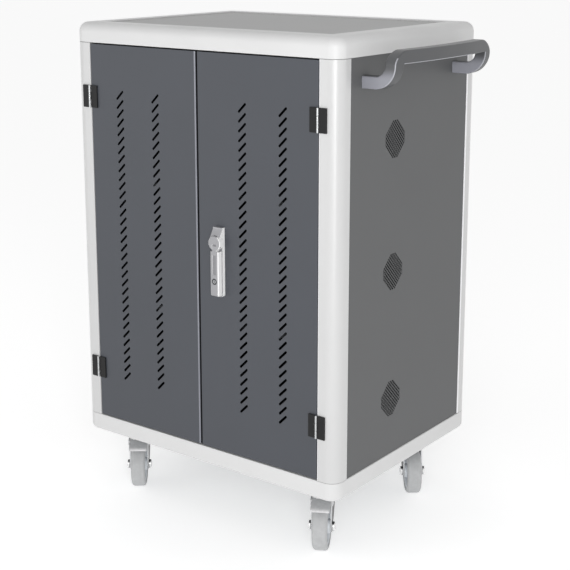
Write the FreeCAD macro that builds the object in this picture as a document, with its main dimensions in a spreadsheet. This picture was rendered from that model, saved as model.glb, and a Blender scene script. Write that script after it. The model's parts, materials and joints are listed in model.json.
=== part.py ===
"""Charging cabinet on castors: a moulded frame with two slotted doors, device bays and a swing-handle lock.

The body frame has its origin on the floor under the middle of the cabinet, +Z up and the doors facing -Y.
Placements then move every piece so that the origin lies under the middle of the whole object, with its
push handle and lock. Sizes are in millimetres and angles in degrees.
"""
import FreeCAD, Part
import os
import re
import Sketcher

SIZES = {
    # Cabinet body
    "body_width": 690, "body_depth": 530, "castor_height": 134, "base_height": 40,
    "opening_height": 840, "crown_height": 42, "corner_radius": 28, "base_round": 10,
    "crown_round": 20, "rim_width": 38, "rim_rebate": 10, "crown_flange": 12,
    # Base tray, floor and top panel
    "tray_sheet": 2, "floor_sheet": 2, "tray_rib_width": 40, "tray_rib_y": 90, "rebate_gap": 0.2,
    "top_inset": 50, "top_ledge": 12, "top_sheet": 3, "top_recess": 2,
    # Corner posts, side panels and rear panel
    "post_front": 45, "post_side": 42, "post_wall": 2.5, "panel_sheet": 1.2, "panel_fold": 14,
    "panel_recess": 2, "vent_y": -62, "vent_first": 123, "vent_pitch": 272.5, "vent_count": 3,
    "vent_hole": 7, "vent_hole_pitch": 10, "vent_cells": 3, "vent_tip_cells": 4,
    "louvre_length": 90, "louvre_width": 5, "louvre_pitch": 14, "louvre_count": 6,
    "louvre_inset": 140, "louvre_first": 700,
    # Shelves, rails and dividers
    "shelf_pitch": 272, "shelf_sheet": 1.5, "shelf_lip": 12, "shelf_setback": 50, "shelf_rear_room": 115,
    "rail_height": 16, "rail_width": 14, "rail_sheet": 2, "bay_count": 10, "divider_sheet": 2,
    "divider_height": 190, "divider_setback": 60, "divider_round": 40,
    # Power supply behind the bays
    "strip_inset": 60, "strip_height": 46, "strip_depth": 32, "strip_rise": 175, "socket_count": 10,
    "socket_width": 28, "socket_height": 22, "socket_sink": 2, "controller_width": 170,
    "controller_height": 95, "controller_depth": 50, "controller_inset": 25, "controller_rise": 30,
    "controller_round": 4, "inlet_inset": 100, "inlet_rise": 70, "inlet_width": 60, "inlet_height": 30,
    "inlet_flange": 3, "inlet_flange_sheet": 1.5, "inlet_depth": 28, "inlet_socket_width": 25,
    "inlet_socket_height": 17, "inlet_socket_depth": 17, "inlet_socket_x": 14, "blade_width": 2,
    "blade_height": 4, "blade_pitch": 7, "blade_length": 13, "blade_rise": 2.5,
    "rocker_x": 14, "rocker_width": 18, "rocker_height": 10.4, "rocker_crest": 6, "rocker_dish": 1.2,
    "rocker_sink": 3, "rocker_pivot_depth": 6, "rocker_tilt": 8, "rocker_gap": 0.6, "rocker_pin_radius": 1.5,
    "rocker_pin_length": 1.5, "rocker_swing_room": 1.2,
    # Push handle
    "handle_reach": 85, "handle_bow": 13, "handle_span": 370, "handle_leg": 24, "handle_thickness": 24,
    "handle_rise": 780, "handle_climb": 51, "handle_bar_height": 23, "handle_bend": 22,
    "handle_end_round": 20,
    # Doors and their slots
    "door_recess": 1, "door_fold": 20, "door_sheet": 1.2, "door_gap": 3, "door_hinge_gap": 1.5,
    "meeting_x": -3, "meeting_gap": 3, "slot_length": 24, "slot_width": 4, "slot_angle": 45,
    "slot_first": 109, "slot_pitch": 19.5, "slot_count": 33, "slot_inner_x": 115, "slot_outer_x": 215,
    # Hinges
    "hinge_height": 48, "hinge_low": 115, "hinge_high": 725, "leaf_width": 20, "leaf_sheet": 3.5,
    "knuckle_radius": 3, "knuckle_gap": 0.5, "hinge_pin_radius": 1.25, "run_gap": 0.05,
    # Swing-handle lock
    "lock_x": 56, "lock_low": 341, "lock_height": 145, "lock_width": 24, "lock_base_depth": 8,
    "lock_depth": 20, "lock_head_depth": 18, "lock_head_edge": 6, "lock_head_low": 10, "lock_round": 5,
    "boss_gap": 0.6, "boss_round": 1.5, "boss_rise": 114, "boss_radius": 15,
    "lever_width": 21, "lever_gap": 0.5, "lever_foot": 3, "lever_shoulder": 2, "lever_round": 3,
    "lever_groove_width": 9, "lever_groove_depth": 1, "lever_groove_end": 8, "tongue_width": 10,
    "tongue_gap": 0.3, "eye_radius": 5.4, "eye_drop": 8, "lever_pin_radius": 1.5,
    "lever_pin_half_length": 12, "spindle_radius": 6, "spindle_hole_gap": 0.5,
    "key_rise": 34, "cylinder_radius": 6.5, "plug_radius": 4, "key_slot_width": 1,
    "key_slot_length": 5, "key_slot_depth": 2,
    # Latch behind the lock
    "cam_sheet": 3, "cam_width": 14, "cam_angle": 135, "cam_pin_radius": 2.5, "cam_pin_throw": 15,
    "cam_depth": 14, "rod_width": 10, "rod_sheet": 3, "rod_gap": 0.6, "rod_offset": 12.8, "rod_eye_width": 18,
    "rod_eye_height": 14, "rod_slot_length": 10.8, "rod_slot_height": 6.8, "rod_end_gap": 1.5,
    "guide_width": 20, "guide_height": 14, "guide_wall": 3, "guide_gap": 0.3, "guide_end": 60,
    "guide_inner": 110, "striker_length": 40, "striker_depth": 13, "striker_sheet": 2, "striker_gap": 1,
    "striker_well": 14,
    # Castors
    "castor_side_inset": 85, "castor_front_inset": 84, "castor_rear_inset": 103,
    "castor_trail": 34, "wheel_radius": 50, "tyre_width": 32,
    "tyre_depth": 10, "tyre_round": 7, "rim_half_width": 14, "rim_depth": 7, "web_half_width": 5,
    "hub_radius": 14, "hub_side_gap": 0.5, "axle_radius": 5, "axle_head_radius": 8, "axle_head": 5.5,
    "fork_inner_width": 37, "fork_sheet": 3, "fork_crown": 3.5, "fork_crown_top": 113.5, "fork_front": 34,
    "fork_back": 26, "fork_skirt": 12, "fork_eye": 11, "fork_round": 8, "king_pin_radius": 6,
    "king_head_radius": 9.5, "king_head": 3.5, "swivel_gap": 0.3, "plate_width": 92, "plate_depth": 68,
    "plate_sheet": 3, "race_top_radius": 28, "race_low_radius": 23, "turn_front_right": 28,
    "turn_front_left": 38, "turn_rear_right": 39, "turn_rear_left": 20,
    # Foot brakes of the front castors
    "pedal_pivot_y": 28, "pedal_pivot_z": 104, "pedal_pivot_radius": 3, "pedal_ear": 2, "pedal_side_gap": 0.3,
    "pedal_start": 37, "pedal_end": 70, "pedal_top": 110, "pedal_drop": 6, "pedal_sheet": 3.5,
    "pedal_lip": 4, "pedal_ear_radius": 6, "pedal_tread_width": 40, "pedal_neck": 7,
}

DOC = FreeCAD.newDocument("charging_cabinet")
SHEET = DOC.addObject("Spreadsheet::Sheet", "dims")
for row, (alias, size) in enumerate(SIZES.items(), start=1):
    SHEET.set(f"A{row}", alias)
    SHEET.set(f"B{row}", str(size))
    SHEET.setAlias(f"B{row}", alias)
DOC.recompute()

# Places that several pieces share, as formulas of the sheet's sizes
BASE_TOP = "(castor_height + base_height)"
CROWN_LOW = f"({BASE_TOP} + opening_height)"
CROWN_TOP = f"({CROWN_LOW} + crown_height)"
SIDE = "(body_width / 2)"
FRONT = "(-body_depth / 2)"
BACK = "(body_depth / 2)"
POST_X = "(body_width / 2 - post_front)"
POST_Y = "(body_depth / 2 - post_side)"
RIM_X = "(body_width / 2 - rim_width)"
RIM_Y = "(body_depth / 2 - rim_width)"
DOOR_FACE = f"({FRONT} + door_recess)"
DOOR_INSIDE = f"({DOOR_FACE} + door_sheet)"
HINGE_Y = f"({FRONT} - knuckle_radius - knuckle_gap)"
REAR_FACE = f"({BACK} - panel_recess)"
REAR_INSIDE = f"({REAR_FACE} - panel_sheet)"
LOCK_LOW = f"({BASE_TOP} + lock_low)"
LOCK_TOP = f"({LOCK_LOW} + lock_height)"
LOCK_BASE_FACE = f"({DOOR_FACE} - lock_base_depth)"
LEVER_BACK = f"({LOCK_BASE_FACE} - lever_gap)"
LEVER_FACE = f"({DOOR_FACE} - lock_depth)"
LEVER_MIDDLE = f"(({LEVER_BACK} + {LEVER_FACE}) / 2)"
BOSS_Z = f"({LOCK_LOW} + boss_rise)"
EYE_Z = f"({BOSS_Z} - eye_drop)"
KEY_Z = f"({LOCK_LOW} + key_rise)"
CAM_BACK = f"({DOOR_INSIDE} + cam_depth)"
CAM_FACE = f"({CAM_BACK} + cam_sheet)"
CAM_PIN = "(cam_pin_throw * sqrt(2) / 2)"
ROD_FACE = f"({CAM_FACE} + rod_gap)"
ROD_BACK = f"({ROD_FACE} + rod_sheet)"
ROD_Y = f"({ROD_FACE} + rod_sheet / 2)"
HANDLE_LEG_FACE = f"({SIDE} + handle_reach - handle_bow)"
HANDLE_LOW = f"({BASE_TOP} + handle_rise)"
HANDLE_BAR_LOW = f"({HANDLE_LOW} + handle_climb)"
HANDLE_TOP = f"({HANDLE_BAR_LOW} + handle_bar_height)"
SHELF_FRONT = f"({FRONT} + shelf_setback)"
SHELF_BACK = f"({BACK} - shelf_rear_room)"
DIVIDER_FRONT = f"({FRONT} + divider_setback)"
STRIP_HALF = f"({POST_X} - strip_inset)"
SOCKET_PITCH = f"(2 * {STRIP_HALF} / (socket_count + 1))"
INLET_X = f"({POST_X} - inlet_inset)"
INLET_Z = f"({BASE_TOP} + inlet_rise)"
ROCKER_Y = f"({REAR_FACE} - rocker_pivot_depth)"
ROCKER_X = f"({INLET_X} - rocker_x)"
FORK_OUTER = "(fork_inner_width / 2 + fork_sheet)"
TYRE_BORE = "(wheel_radius - tyre_depth)"

# The middle of the cabinet, seen from the middle of the whole object
BODY_X = "(-handle_reach / 2)"
BODY_Y = "((lock_depth - door_recess) / 2)"

SUBPARTS = []


def formula(text):
    """A formula with each size written the way the document refers to its cell."""
    return re.sub(r"[a-z_]+", lambda word: "dims." + word[0] if word[0] in SIZES else word[0], str(text))


def number(text):
    """What a formula comes to now."""
    return float(SHEET.evalExpression(formula(text)))


def bind(thing, prop, text):
    thing.setExpression(prop, formula(text))


def keep(thing, name):
    """Names a finished sub-part, which becomes a node."""
    thing.Label = name
    SUBPARTS.append(thing)
    return thing


# Sketched bodies. A range along a plane's normal runs from level towards + by length.

PLANES = {"XY": ("XY_Plane", 1), "XZ": ("XZ_Plane", -1), "YZ": ("YZ_Plane", 1)}


def new_body(name, x=BODY_X, y=BODY_Y, z="0", turn="0"):
    """A body whose frame stands at x, y, z, turned about +Z."""
    body = keep(DOC.addObject("PartDesign::Body", name), name)
    bind(body, "Placement.Base.x", x)
    bind(body, "Placement.Base.y", y)
    bind(body, "Placement.Base.z", z)
    bind(body, "Placement.Rotation.Angle", f"({turn}) * 1 deg")
    return body


def origin_feature(body, role):
    return [feature for feature in body.Origin.OriginFeatures if feature.Role == role][0]


def sketch_at(body, plane, level):
    sketch = body.newObject("Sketcher::SketchObject", "profile")
    role, sign = PLANES[plane]
    sketch.AttachmentSupport = [(origin_feature(body, role), "")]
    sketch.MapMode = "FlatFace"
    bind(sketch, "AttachmentOffset.Base.z", f"{sign} * ({level})")
    return sketch


def hold(sketch, constraints):
    """Adds (constraint, formula) pairs, the formula None where the constraint has no size."""
    first = sketch.ConstraintCount
    sketch.addConstraint([constraint for constraint, text in constraints])
    for place, (constraint, text) in enumerate(constraints):
        if text is not None:
            bind(sketch, f"Constraints[{first + place}]", text)


def outline(sketch, corners):
    """A closed run of straight lines, each corner held by its two distances from the sketch's origin."""
    points = [FreeCAD.Vector(number(x), number(y), 0) for x, y in corners]
    first = sketch.GeometryCount
    count = len(points)
    sketch.addGeometry([Part.LineSegment(points[i], points[(i + 1) % count]) for i in range(count)])
    held = []
    for i, (x, y) in enumerate(corners):
        after = first + (i + 1) % count
        held.append((Sketcher.Constraint("Coincident", first + i, 2, after, 1), None))
        for kind, text, size in (("DistanceX", x, points[i].x), ("DistanceY", y, points[i].y)):
            held.append((Sketcher.Constraint(kind, -1, 1, first + i, 1, size), text))
    hold(sketch, held)


def rectangle(sketch, left, right, low, high):
    outline(sketch, [(left, low), (right, low), (right, high), (left, high)])


def circle(sketch, x, y, radius):
    middle = FreeCAD.Vector(number(x), number(y), 0)
    place = sketch.addGeometry(Part.Circle(middle, FreeCAD.Vector(0, 0, 1), number(radius)))
    hold(sketch, [
        (Sketcher.Constraint("DistanceX", -1, 1, place, 3, middle.x), x),
        (Sketcher.Constraint("DistanceY", -1, 1, place, 3, middle.y), y),
        (Sketcher.Constraint("Radius", place, number(radius)), radius),
    ])


def round_slot(sketch, length, width):
    """A slot with round ends along the sketch's X axis, its middle at the sketch's origin."""
    reach = (number(length) - number(width)) / 2
    radius = number(width) / 2
    up = FreeCAD.Vector(0, 0, 1)
    vector = FreeCAD.Vector
    right_end = Part.Circle(vector(reach, 0, 0), up, radius)
    left_end = Part.Circle(vector(-reach, 0, 0), up, radius)
    quarter = 1.5707963267948966
    sketch.addGeometry([
        Part.LineSegment(vector(-reach, radius, 0), vector(reach, radius, 0)),
        Part.ArcOfCircle(right_end, -quarter, quarter),
        Part.LineSegment(vector(reach, -radius, 0), vector(-reach, -radius, 0)),
        Part.ArcOfCircle(left_end, quarter, 3 * quarter),
    ])
    hold(sketch, [
        (Sketcher.Constraint("Tangent", 0, 2, 1, 2), None),
        (Sketcher.Constraint("Tangent", 2, 1, 1, 1), None),
        (Sketcher.Constraint("Tangent", 2, 2, 3, 2), None),
        (Sketcher.Constraint("Tangent", 0, 1, 3, 1), None),
        (Sketcher.Constraint("Horizontal", 0), None),
        (Sketcher.Constraint("Symmetric", 1, 3, 3, 3, -1, 1), None),
        (Sketcher.Constraint("Radius", 1, radius), f"({width}) / 2"),
        (Sketcher.Constraint("DistanceX", 3, 3, 1, 3, 2 * reach), f"({length}) - ({width})"),
    ])


def pad_sketch(body, sketch, plane, length):
    feature = body.newObject("PartDesign::Pad", "pad")
    feature.Profile = sketch
    feature.Reversed = PLANES[plane][1] < 0
    bind(feature, "Length", length)
    return feature


def pocket_sketch(body, sketch, plane, length):
    """Cuts, and makes sure that the cut took something away."""
    before = body.Tip
    DOC.recompute()
    volume = before.Shape.Volume
    feature = body.newObject("PartDesign::Pocket", "pocket")
    feature.Profile = sketch
    feature.Reversed = PLANES[plane][1] > 0
    bind(feature, "Length", length)
    DOC.recompute()
    if not feature.Shape.Volume < volume:
        raise RuntimeError(f"{body.Label}: a pocket cut nothing")
    return feature


def pad(body, plane, level, length, corners):
    sketch = sketch_at(body, plane, level)
    outline(sketch, corners)
    return pad_sketch(body, sketch, plane, length)


def pad_block(body, x, y, z):
    """A block over three (low, high) ranges."""
    sketch = sketch_at(body, "XY", z[0])
    rectangle(sketch, x[0], x[1], y[0], y[1])
    return pad_sketch(body, sketch, "XY", f"({z[1]}) - ({z[0]})")


def pocket_block(body, x, y, z):
    sketch = sketch_at(body, "XY", z[0])
    rectangle(sketch, x[0], x[1], y[0], y[1])
    return pocket_sketch(body, sketch, "XY", f"({z[1]}) - ({z[0]})")


def pocket_round(body, plane, level, length, u, v, radius):
    sketch = sketch_at(body, plane, level)
    circle(sketch, u, v, radius)
    return pocket_sketch(body, sketch, plane, length)


def pad_round(body, plane, level, length, u, v, radius):
    sketch = sketch_at(body, plane, level)
    circle(sketch, u, v, radius)
    return pad_sketch(body, sketch, plane, length)


def revolve(body, corners):
    """Turns a profile of (x, radius) corners about the X axis."""
    sketch = sketch_at(body, "XZ", "0")
    outline(sketch, corners)
    feature = body.newObject("PartDesign::Revolution", "revolution")
    feature.Profile = sketch
    feature.ReferenceAxis = (sketch, ["H_Axis"])
    feature.Angle = 360
    return feature


def repeat(body, originals, axis, pitch, count):
    """Repeats features along one of the body's own axes."""
    pattern = body.newObject("PartDesign::LinearPattern", "pattern")
    pattern.Originals = originals
    pattern.Direction = (origin_feature(body, axis), [""])
    bind(pattern, "Length", f"({pitch}) * (({count}) - 1)")
    bind(pattern, "Occurrences", count)
    body.Tip = pattern
    return pattern


def straight_along(edge, axis):
    """True for a straight edge along X, Y or Z."""
    spans = [edge.BoundBox.XLength, edge.BoundBox.YLength, edge.BoundBox.ZLength]
    across = [span for place, span in enumerate(spans) if place != "XYZ".index(axis)]
    return max(across) < 1e-4 and spans["XYZ".index(axis)] > 1e-3


def lies_at(edge, axis, text):
    """True where the whole edge lies at one place along an axis."""
    box = edge.BoundBox
    low = (box.XMin, box.YMin, box.ZMin)["XYZ".index(axis)]
    high = (box.XMax, box.YMax, box.ZMax)["XYZ".index(axis)]
    return abs(low - number(text)) < 1e-3 and abs(high - number(text)) < 1e-3


def round_edges(body, radius, choose):
    """Rounds those edges of the body's last feature that choose picks."""
    DOC.recompute()
    base = body.Tip
    names = [f"Edge{place}" for place, edge in enumerate(base.Shape.Edges, start=1) if choose(edge)]
    if not names:
        raise RuntimeError(f"{body.Label}: no edge to round")
    fillet = body.newObject("PartDesign::Fillet", "rounding")
    fillet.Base = (base, names)
    bind(fillet, "Radius", radius)
    return fillet


# Plain blocks and rods, placed in the cabinet's own frame

def block(name, x, y, z):
    """A block over three (low, high) ranges."""
    thing = DOC.addObject("Part::Box", name)
    for prop, (low, high) in (("Length", x), ("Width", y), ("Height", z)):
        bind(thing, prop, f"({high}) - ({low})")
    bind(thing, "Placement.Base.x", f"{BODY_X} + ({x[0]})")
    bind(thing, "Placement.Base.y", f"{BODY_Y} + ({y[0]})")
    bind(thing, "Placement.Base.z", z[0])
    return thing


def rod(name, axis, radius, along, across):
    """A cylinder over a (low, high) range of one axis; across places it on the other two."""
    thing = DOC.addObject("Part::Cylinder", name)
    bind(thing, "Radius", radius)
    bind(thing, "Height", f"({along[1]}) - ({along[0]})")
    place = list(across)
    place.insert("XYZ".index(axis), along[0])
    turns = {"X": ((0, 1, 0), 90), "Y": ((1, 0, 0), -90), "Z": ((0, 0, 1), 0)}
    direction, angle = turns[axis]
    thing.Placement = FreeCAD.Placement(FreeCAD.Vector(), FreeCAD.Rotation(FreeCAD.Vector(*direction), angle))
    bind(thing, "Placement.Base.x", f"{BODY_X} + ({place[0]})")
    bind(thing, "Placement.Base.y", f"{BODY_Y} + ({place[1]})")
    bind(thing, "Placement.Base.z", place[2])
    return thing


def fuse(name, pieces):
    thing = DOC.addObject("Part::MultiFuse", name)
    thing.Shapes = pieces
    thing.Refine = True
    return thing


def cut(name, base, tool):
    thing = DOC.addObject("Part::Cut", name)
    thing.Base = base
    thing.Tool = tool
    thing.Refine = True
    return thing


def group(name, pieces):
    thing = DOC.addObject("Part::Compound", name)
    thing.Links = pieces
    return keep(thing, name)


# Moulded base and crown

def rounded_slab(name, low, high):
    """The cabinet's outline with round corners, between two levels."""
    body = new_body(name)
    pad_block(body, (f"-{SIDE}", SIDE), (FRONT, BACK), (low, high))
    round_edges(body, "corner_radius", lambda edge: straight_along(edge, "Z"))
    return body


def striker_recess(body, x, plate, well):
    """Room in a moulding for a striker plate and, past it, for the tip of the latch rod."""
    half = "striker_length / 2"
    deep = "striker_depth / 2"
    pocket_block(body, (f"{x} - {half}", f"{x} + {half}"), (f"{ROD_Y} - {deep}", f"{ROD_Y} + {deep}"), plate)
    wide = "rod_width / 2 + striker_gap"
    thick = "rod_sheet / 2 + striker_gap"
    pocket_block(body, (f"{x} - {wide}", f"{x} + {wide}"), (f"{ROD_Y} - {thick}", f"{ROD_Y} + {thick}"), well)


def base_moulding():
    """A ring with a rebate below for the tray and one above for the floor."""
    low = "castor_height"
    body = rounded_slab("base_moulding", low, BASE_TOP)
    round_edges(body, "base_round", lambda edge: lies_at(edge, "Z", low))
    pocket_block(body, (f"-{RIM_X}", RIM_X), (f"-{RIM_Y}", RIM_Y), (low, BASE_TOP))
    wide = (f"-{RIM_X} - rim_rebate", f"{RIM_X} + rim_rebate")
    deep = (f"-{RIM_Y} - rim_rebate", f"{RIM_Y} + rim_rebate")
    pocket_block(body, wide, deep, (low, f"{low} + tray_sheet"))
    pocket_block(body, wide, deep, (f"{BASE_TOP} - floor_sheet", BASE_TOP))
    plate = (f"{BASE_TOP} - striker_sheet", BASE_TOP)
    well = (f"{BASE_TOP} - striker_sheet - striker_well", BASE_TOP)
    striker_recess(body, "(lock_x + rod_offset)", plate, well)


def crown_moulding():
    """The top ring: a deep rim, a flange over it and the seat of the top panel in the flange."""
    body = rounded_slab("crown_moulding", CROWN_LOW, CROWN_TOP)
    round_edges(body, "crown_round", lambda edge: lies_at(edge, "Z", CROWN_TOP))
    pocket_block(body, (f"-{RIM_X}", RIM_X), (f"-{RIM_Y}", RIM_Y), (CROWN_LOW, f"{CROWN_TOP} - crown_flange"))
    seat_x = f"({SIDE} - top_inset)"
    seat_y = f"({BACK} - top_inset)"
    seat_z = (f"{CROWN_TOP} - top_recess - top_sheet", CROWN_TOP)
    pocket_block(body, (f"-{seat_x}", seat_x), (f"-{seat_y}", seat_y), seat_z)
    hole_x = f"({seat_x} - top_ledge)"
    hole_y = f"({seat_y} - top_ledge)"
    flange = (f"{CROWN_TOP} - crown_flange", CROWN_TOP)
    pocket_block(body, (f"-{hole_x}", hole_x), (f"-{hole_y}", hole_y), flange)
    plate = (CROWN_LOW, f"{CROWN_LOW} + striker_sheet")
    well = (CROWN_LOW, f"{CROWN_LOW} + striker_sheet + striker_well")
    striker_recess(body, "(lock_x - rod_offset)", plate, well)


def sheet_metal_floor():
    """The tray that the castors are bolted to, with two cross members, and the floor that lies on them."""
    half_x = f"({RIM_X} + rim_rebate - rebate_gap)"
    half_y = f"({RIM_Y} + rim_rebate - rebate_gap)"
    top = "castor_height + tray_sheet"
    tray = new_body("base_tray")
    pad_block(tray, (f"-{half_x}", half_x), (f"-{half_y}", half_y), ("castor_height", top))
    reach = f"({RIM_X} - rebate_gap)"
    for side in ("-", ""):
        middle = f"{side}tray_rib_y"
        across = (f"{middle} - tray_rib_width / 2", f"{middle} + tray_rib_width / 2")
        pad_block(tray, (f"-{reach}", reach), across, (top, f"{BASE_TOP} - floor_sheet"))
    floor = new_body("floor_panel")
    pad_block(floor, (f"-{half_x}", half_x), (f"-{half_y}", half_y), (f"{BASE_TOP} - floor_sheet", BASE_TOP))


def top_panel():
    half_x = f"({SIDE} - top_inset - rebate_gap)"
    half_y = f"({BACK} - top_inset - rebate_gap)"
    level = f"{CROWN_TOP} - top_recess"
    body = new_body("top_panel")
    pad_block(body, (f"-{half_x}", half_x), (f"-{half_y}", half_y), (f"{level} - top_sheet", level))


# Corner posts and outer panels

def signed_range(sign, near, far):
    """A range on one side of the middle, written low to high."""
    return (near, far) if sign > 0 else (f"-({far})", f"-({near})")


def corner_post(name, side, end):
    """A hollow extrusion with one rounded outer corner."""
    body = new_body(name)
    height = (BASE_TOP, CROWN_LOW)
    pad_block(body, signed_range(side, POST_X, SIDE), signed_range(end, POST_Y, BACK), height)
    hollow_x = signed_range(side, f"{POST_X} + post_wall", f"{SIDE} - post_wall")
    hollow_y = signed_range(end, f"{POST_Y} + post_wall", f"{BACK} - post_wall")
    pocket_block(body, hollow_x, hollow_y, height)
    inner_x = hollow_x[side > 0]
    inner_y = hollow_y[end > 0]
    inner = lambda edge: lies_at(edge, "X", inner_x) and lies_at(edge, "Y", inner_y)
    round_edges(body, "corner_radius - post_wall", inner)
    outer_x = SIDE if side > 0 else f"-{SIDE}"
    outer_y = BACK if end > 0 else f"-{BACK}"
    outer = lambda edge: lies_at(edge, "X", outer_x) and lies_at(edge, "Y", outer_y)
    round_edges(body, "corner_radius", outer)


def vent_field(body, level, length):
    """Square holes on their points, in a diamond field with its four tips cut off."""
    sketch = sketch_at(body, "YZ", level)
    bind(sketch, "AttachmentOffset.Base.x", "vent_y")
    bind(sketch, "AttachmentOffset.Base.y", f"{BASE_TOP} + vent_first")
    step = number("vent_hole_pitch") / 2 ** 0.5
    reach = number("vent_hole") / 2 ** 0.5
    span = range(-SIZES["vent_cells"], SIZES["vent_cells"] + 1)
    tip = SIZES["vent_tip_cells"]
    cells = [(i, j) for i in span for j in span if max(abs(i - j), abs(i + j)) <= tip]
    corners = ((reach, 0), (0, reach), (-reach, 0), (0, -reach))
    for i, j in cells:
        y, z = (i - j) * step, (i + j) * step
        tips = [FreeCAD.Vector(y + dy, z + dz, 0) for dy, dz in corners]
        sketch.addGeometry([Part.LineSegment(tips[k], tips[(k + 1) % 4]) for k in range(4)])
    return pocket_sketch(body, sketch, "YZ", length)


def side_panel(name, side):
    """A pan of folded sheet between two posts, with one vent for each tier."""
    body = new_body(name)
    outside = f"({SIDE} - panel_recess)"
    rim = f"({outside} - panel_fold)"
    along = (f"-{POST_Y}", POST_Y)
    pad_block(body, signed_range(side, rim, outside), along, (BASE_TOP, CROWN_LOW))
    hollow = signed_range(side, rim, f"{outside} - panel_sheet")
    inside = (f"-{POST_Y} + panel_sheet", f"{POST_Y} - panel_sheet")
    pocket_block(body, hollow, inside, (f"{BASE_TOP} + panel_sheet", f"{CROWN_LOW} - panel_sheet"))
    skin = signed_range(side, f"{outside} - panel_sheet", outside)
    vent = vent_field(body, skin[0], "panel_sheet")
    repeat(body, [vent], "Z_Axis", "vent_pitch", "vent_count")


def rear_panel():
    """A pan with two blocks of louvre slots and the cut-out of the mains inlet."""
    body = new_body("rear_panel")
    rim = f"({REAR_FACE} - panel_fold)"
    pad_block(body, (f"-{POST_X}", POST_X), (rim, REAR_FACE), (BASE_TOP, CROWN_LOW))
    inside = (f"-{POST_X} + panel_sheet", f"{POST_X} - panel_sheet")
    tall = (f"{BASE_TOP} + panel_sheet", f"{CROWN_LOW} - panel_sheet")
    pocket_block(body, inside, (rim, REAR_INSIDE), tall)
    half_x = "(inlet_width / 2 + rebate_gap)"
    half_z = "(inlet_height / 2 + rebate_gap)"
    opening_z = (f"{INLET_Z} - {half_z}", f"{INLET_Z} + {half_z}")
    opening_x = (f"{INLET_X} - {half_x}", f"{INLET_X} + {half_x}")
    pocket_block(body, opening_x, (REAR_INSIDE, REAR_FACE), opening_z)
    louvres = []
    for middle in (f"louvre_inset - {POST_X}", f"{POST_X} - louvre_inset"):
        sketch = sketch_at(body, "XZ", REAR_INSIDE)
        bind(sketch, "AttachmentOffset.Base.x", middle)
        bind(sketch, "AttachmentOffset.Base.y", f"{BASE_TOP} + louvre_first")
        round_slot(sketch, "louvre_length", "louvre_width")
        louvres.append(pocket_sketch(body, sketch, "XZ", "panel_sheet"))
    repeat(body, louvres, "Z_Axis", "louvre_pitch", "louvre_count")


# Shelves, rails and dividers

def tier_floor(tier):
    """The level that the devices of a tier stand on."""
    return f"({BASE_TOP} + {tier} * shelf_pitch)"


def shelves_and_rails():
    """Two shelves with a folded front lip, each on two angle rails between the posts."""
    rails = []
    for tier, name in ((1, "lower_shelf"), (2, "upper_shelf")):
        top = tier_floor(tier)
        under = f"({top} - shelf_sheet)"
        body = new_body(name)
        half = f"({POST_X} + rail_width)"
        pad_block(body, (f"-{half}", half), (SHELF_FRONT, SHELF_BACK), (under, top))
        lip = (SHELF_FRONT, f"{SHELF_FRONT} + shelf_sheet")
        pad_block(body, (f"-{POST_X}", POST_X), lip, (f"{under} - shelf_lip", under))
        for side, word in ((-1, "left"), (1, "right")):
            along = (f"-{POST_Y}", POST_Y)
            wide = signed_range(side, POST_X, f"{POST_X} + rail_width")
            flat = block(f"{word}_{name}_rail_flat", wide, along, (f"{under} - rail_sheet", under))
            thin = signed_range(side, f"{POST_X} + rail_width - rail_sheet", f"{POST_X} + rail_width")
            web = block(f"{word}_{name}_rail_web", thin, along, (f"{under} - rail_height", under))
            rails.append(fuse(f"{word}_{name}_rail", [flat, web]))
    group("shelf_rails", rails)


def device_dividers():
    """Upright sheets with a rounded front corner that part each tier into bays."""
    pieces = []
    for tier in range(3):
        low = tier_floor(tier)
        for place in range(1, SIZES["bay_count"]):
            middle = f"({POST_X} * (2 * {place} / bay_count - 1))"
            wide = (f"{middle} - divider_sheet / 2", f"{middle} + divider_sheet / 2")
            lower = (low, f"{low} + divider_height - divider_round")
            upper = (f"{low} + divider_height - divider_round", f"{low} + divider_height")
            name = f"divider_{tier}_{place}"
            plate = block(f"{name}_plate", wide, (DIVIDER_FRONT, SHELF_BACK), lower)
            crest = block(f"{name}_crest", wide, (f"{DIVIDER_FRONT} + divider_round", SHELF_BACK), upper)
            turn = (f"{DIVIDER_FRONT} + divider_round", lower[1])
            corner = rod(f"{name}_corner", "X", "divider_round", wide, turn)
            pieces.append(fuse(name, [plate, crest, corner]))
    group("device_dividers", pieces)


# Power supply on the inside of the rear panel

def socket_strips():
    """One strip of sockets for each tier."""
    pieces = []
    for tier in range(3):
        body = DOC.addObject("PartDesign::Body", f"socket_strip_{tier}")
        bind(body, "Placement.Base.x", BODY_X)
        bind(body, "Placement.Base.y", BODY_Y)
        low = f"({tier_floor(tier)} + strip_rise)"
        face = f"({REAR_INSIDE} - strip_depth)"
        pad_block(body, (f"-{STRIP_HALF}", STRIP_HALF), (face, REAR_INSIDE), (low, f"{low} + strip_height"))
        first = f"(-{SOCKET_PITCH} * (socket_count - 1) / 2)"
        wide = (f"{first} - socket_width / 2", f"{first} + socket_width / 2")
        middle = f"({low} + strip_height / 2)"
        tall = (f"{middle} - socket_height / 2", f"{middle} + socket_height / 2")
        socket = pocket_block(body, wide, (face, f"{face} + socket_sink"), tall)
        repeat(body, [socket], "X_Axis", SOCKET_PITCH, "socket_count")
        pieces.append(body)
    group("socket_strips", pieces)


def charge_controller():
    body = new_body("charge_controller")
    low = f"({BASE_TOP} + controller_rise)"
    face = f"({REAR_INSIDE} - controller_depth)"
    wide = (f"controller_inset - {POST_X}", f"controller_inset + controller_width - {POST_X}")
    pad_block(body, wide, (face, REAR_INSIDE), (low, f"{low} + controller_height"))
    round_edges(body, "controller_round", lambda edge: lies_at(edge, "Y", face))


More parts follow.
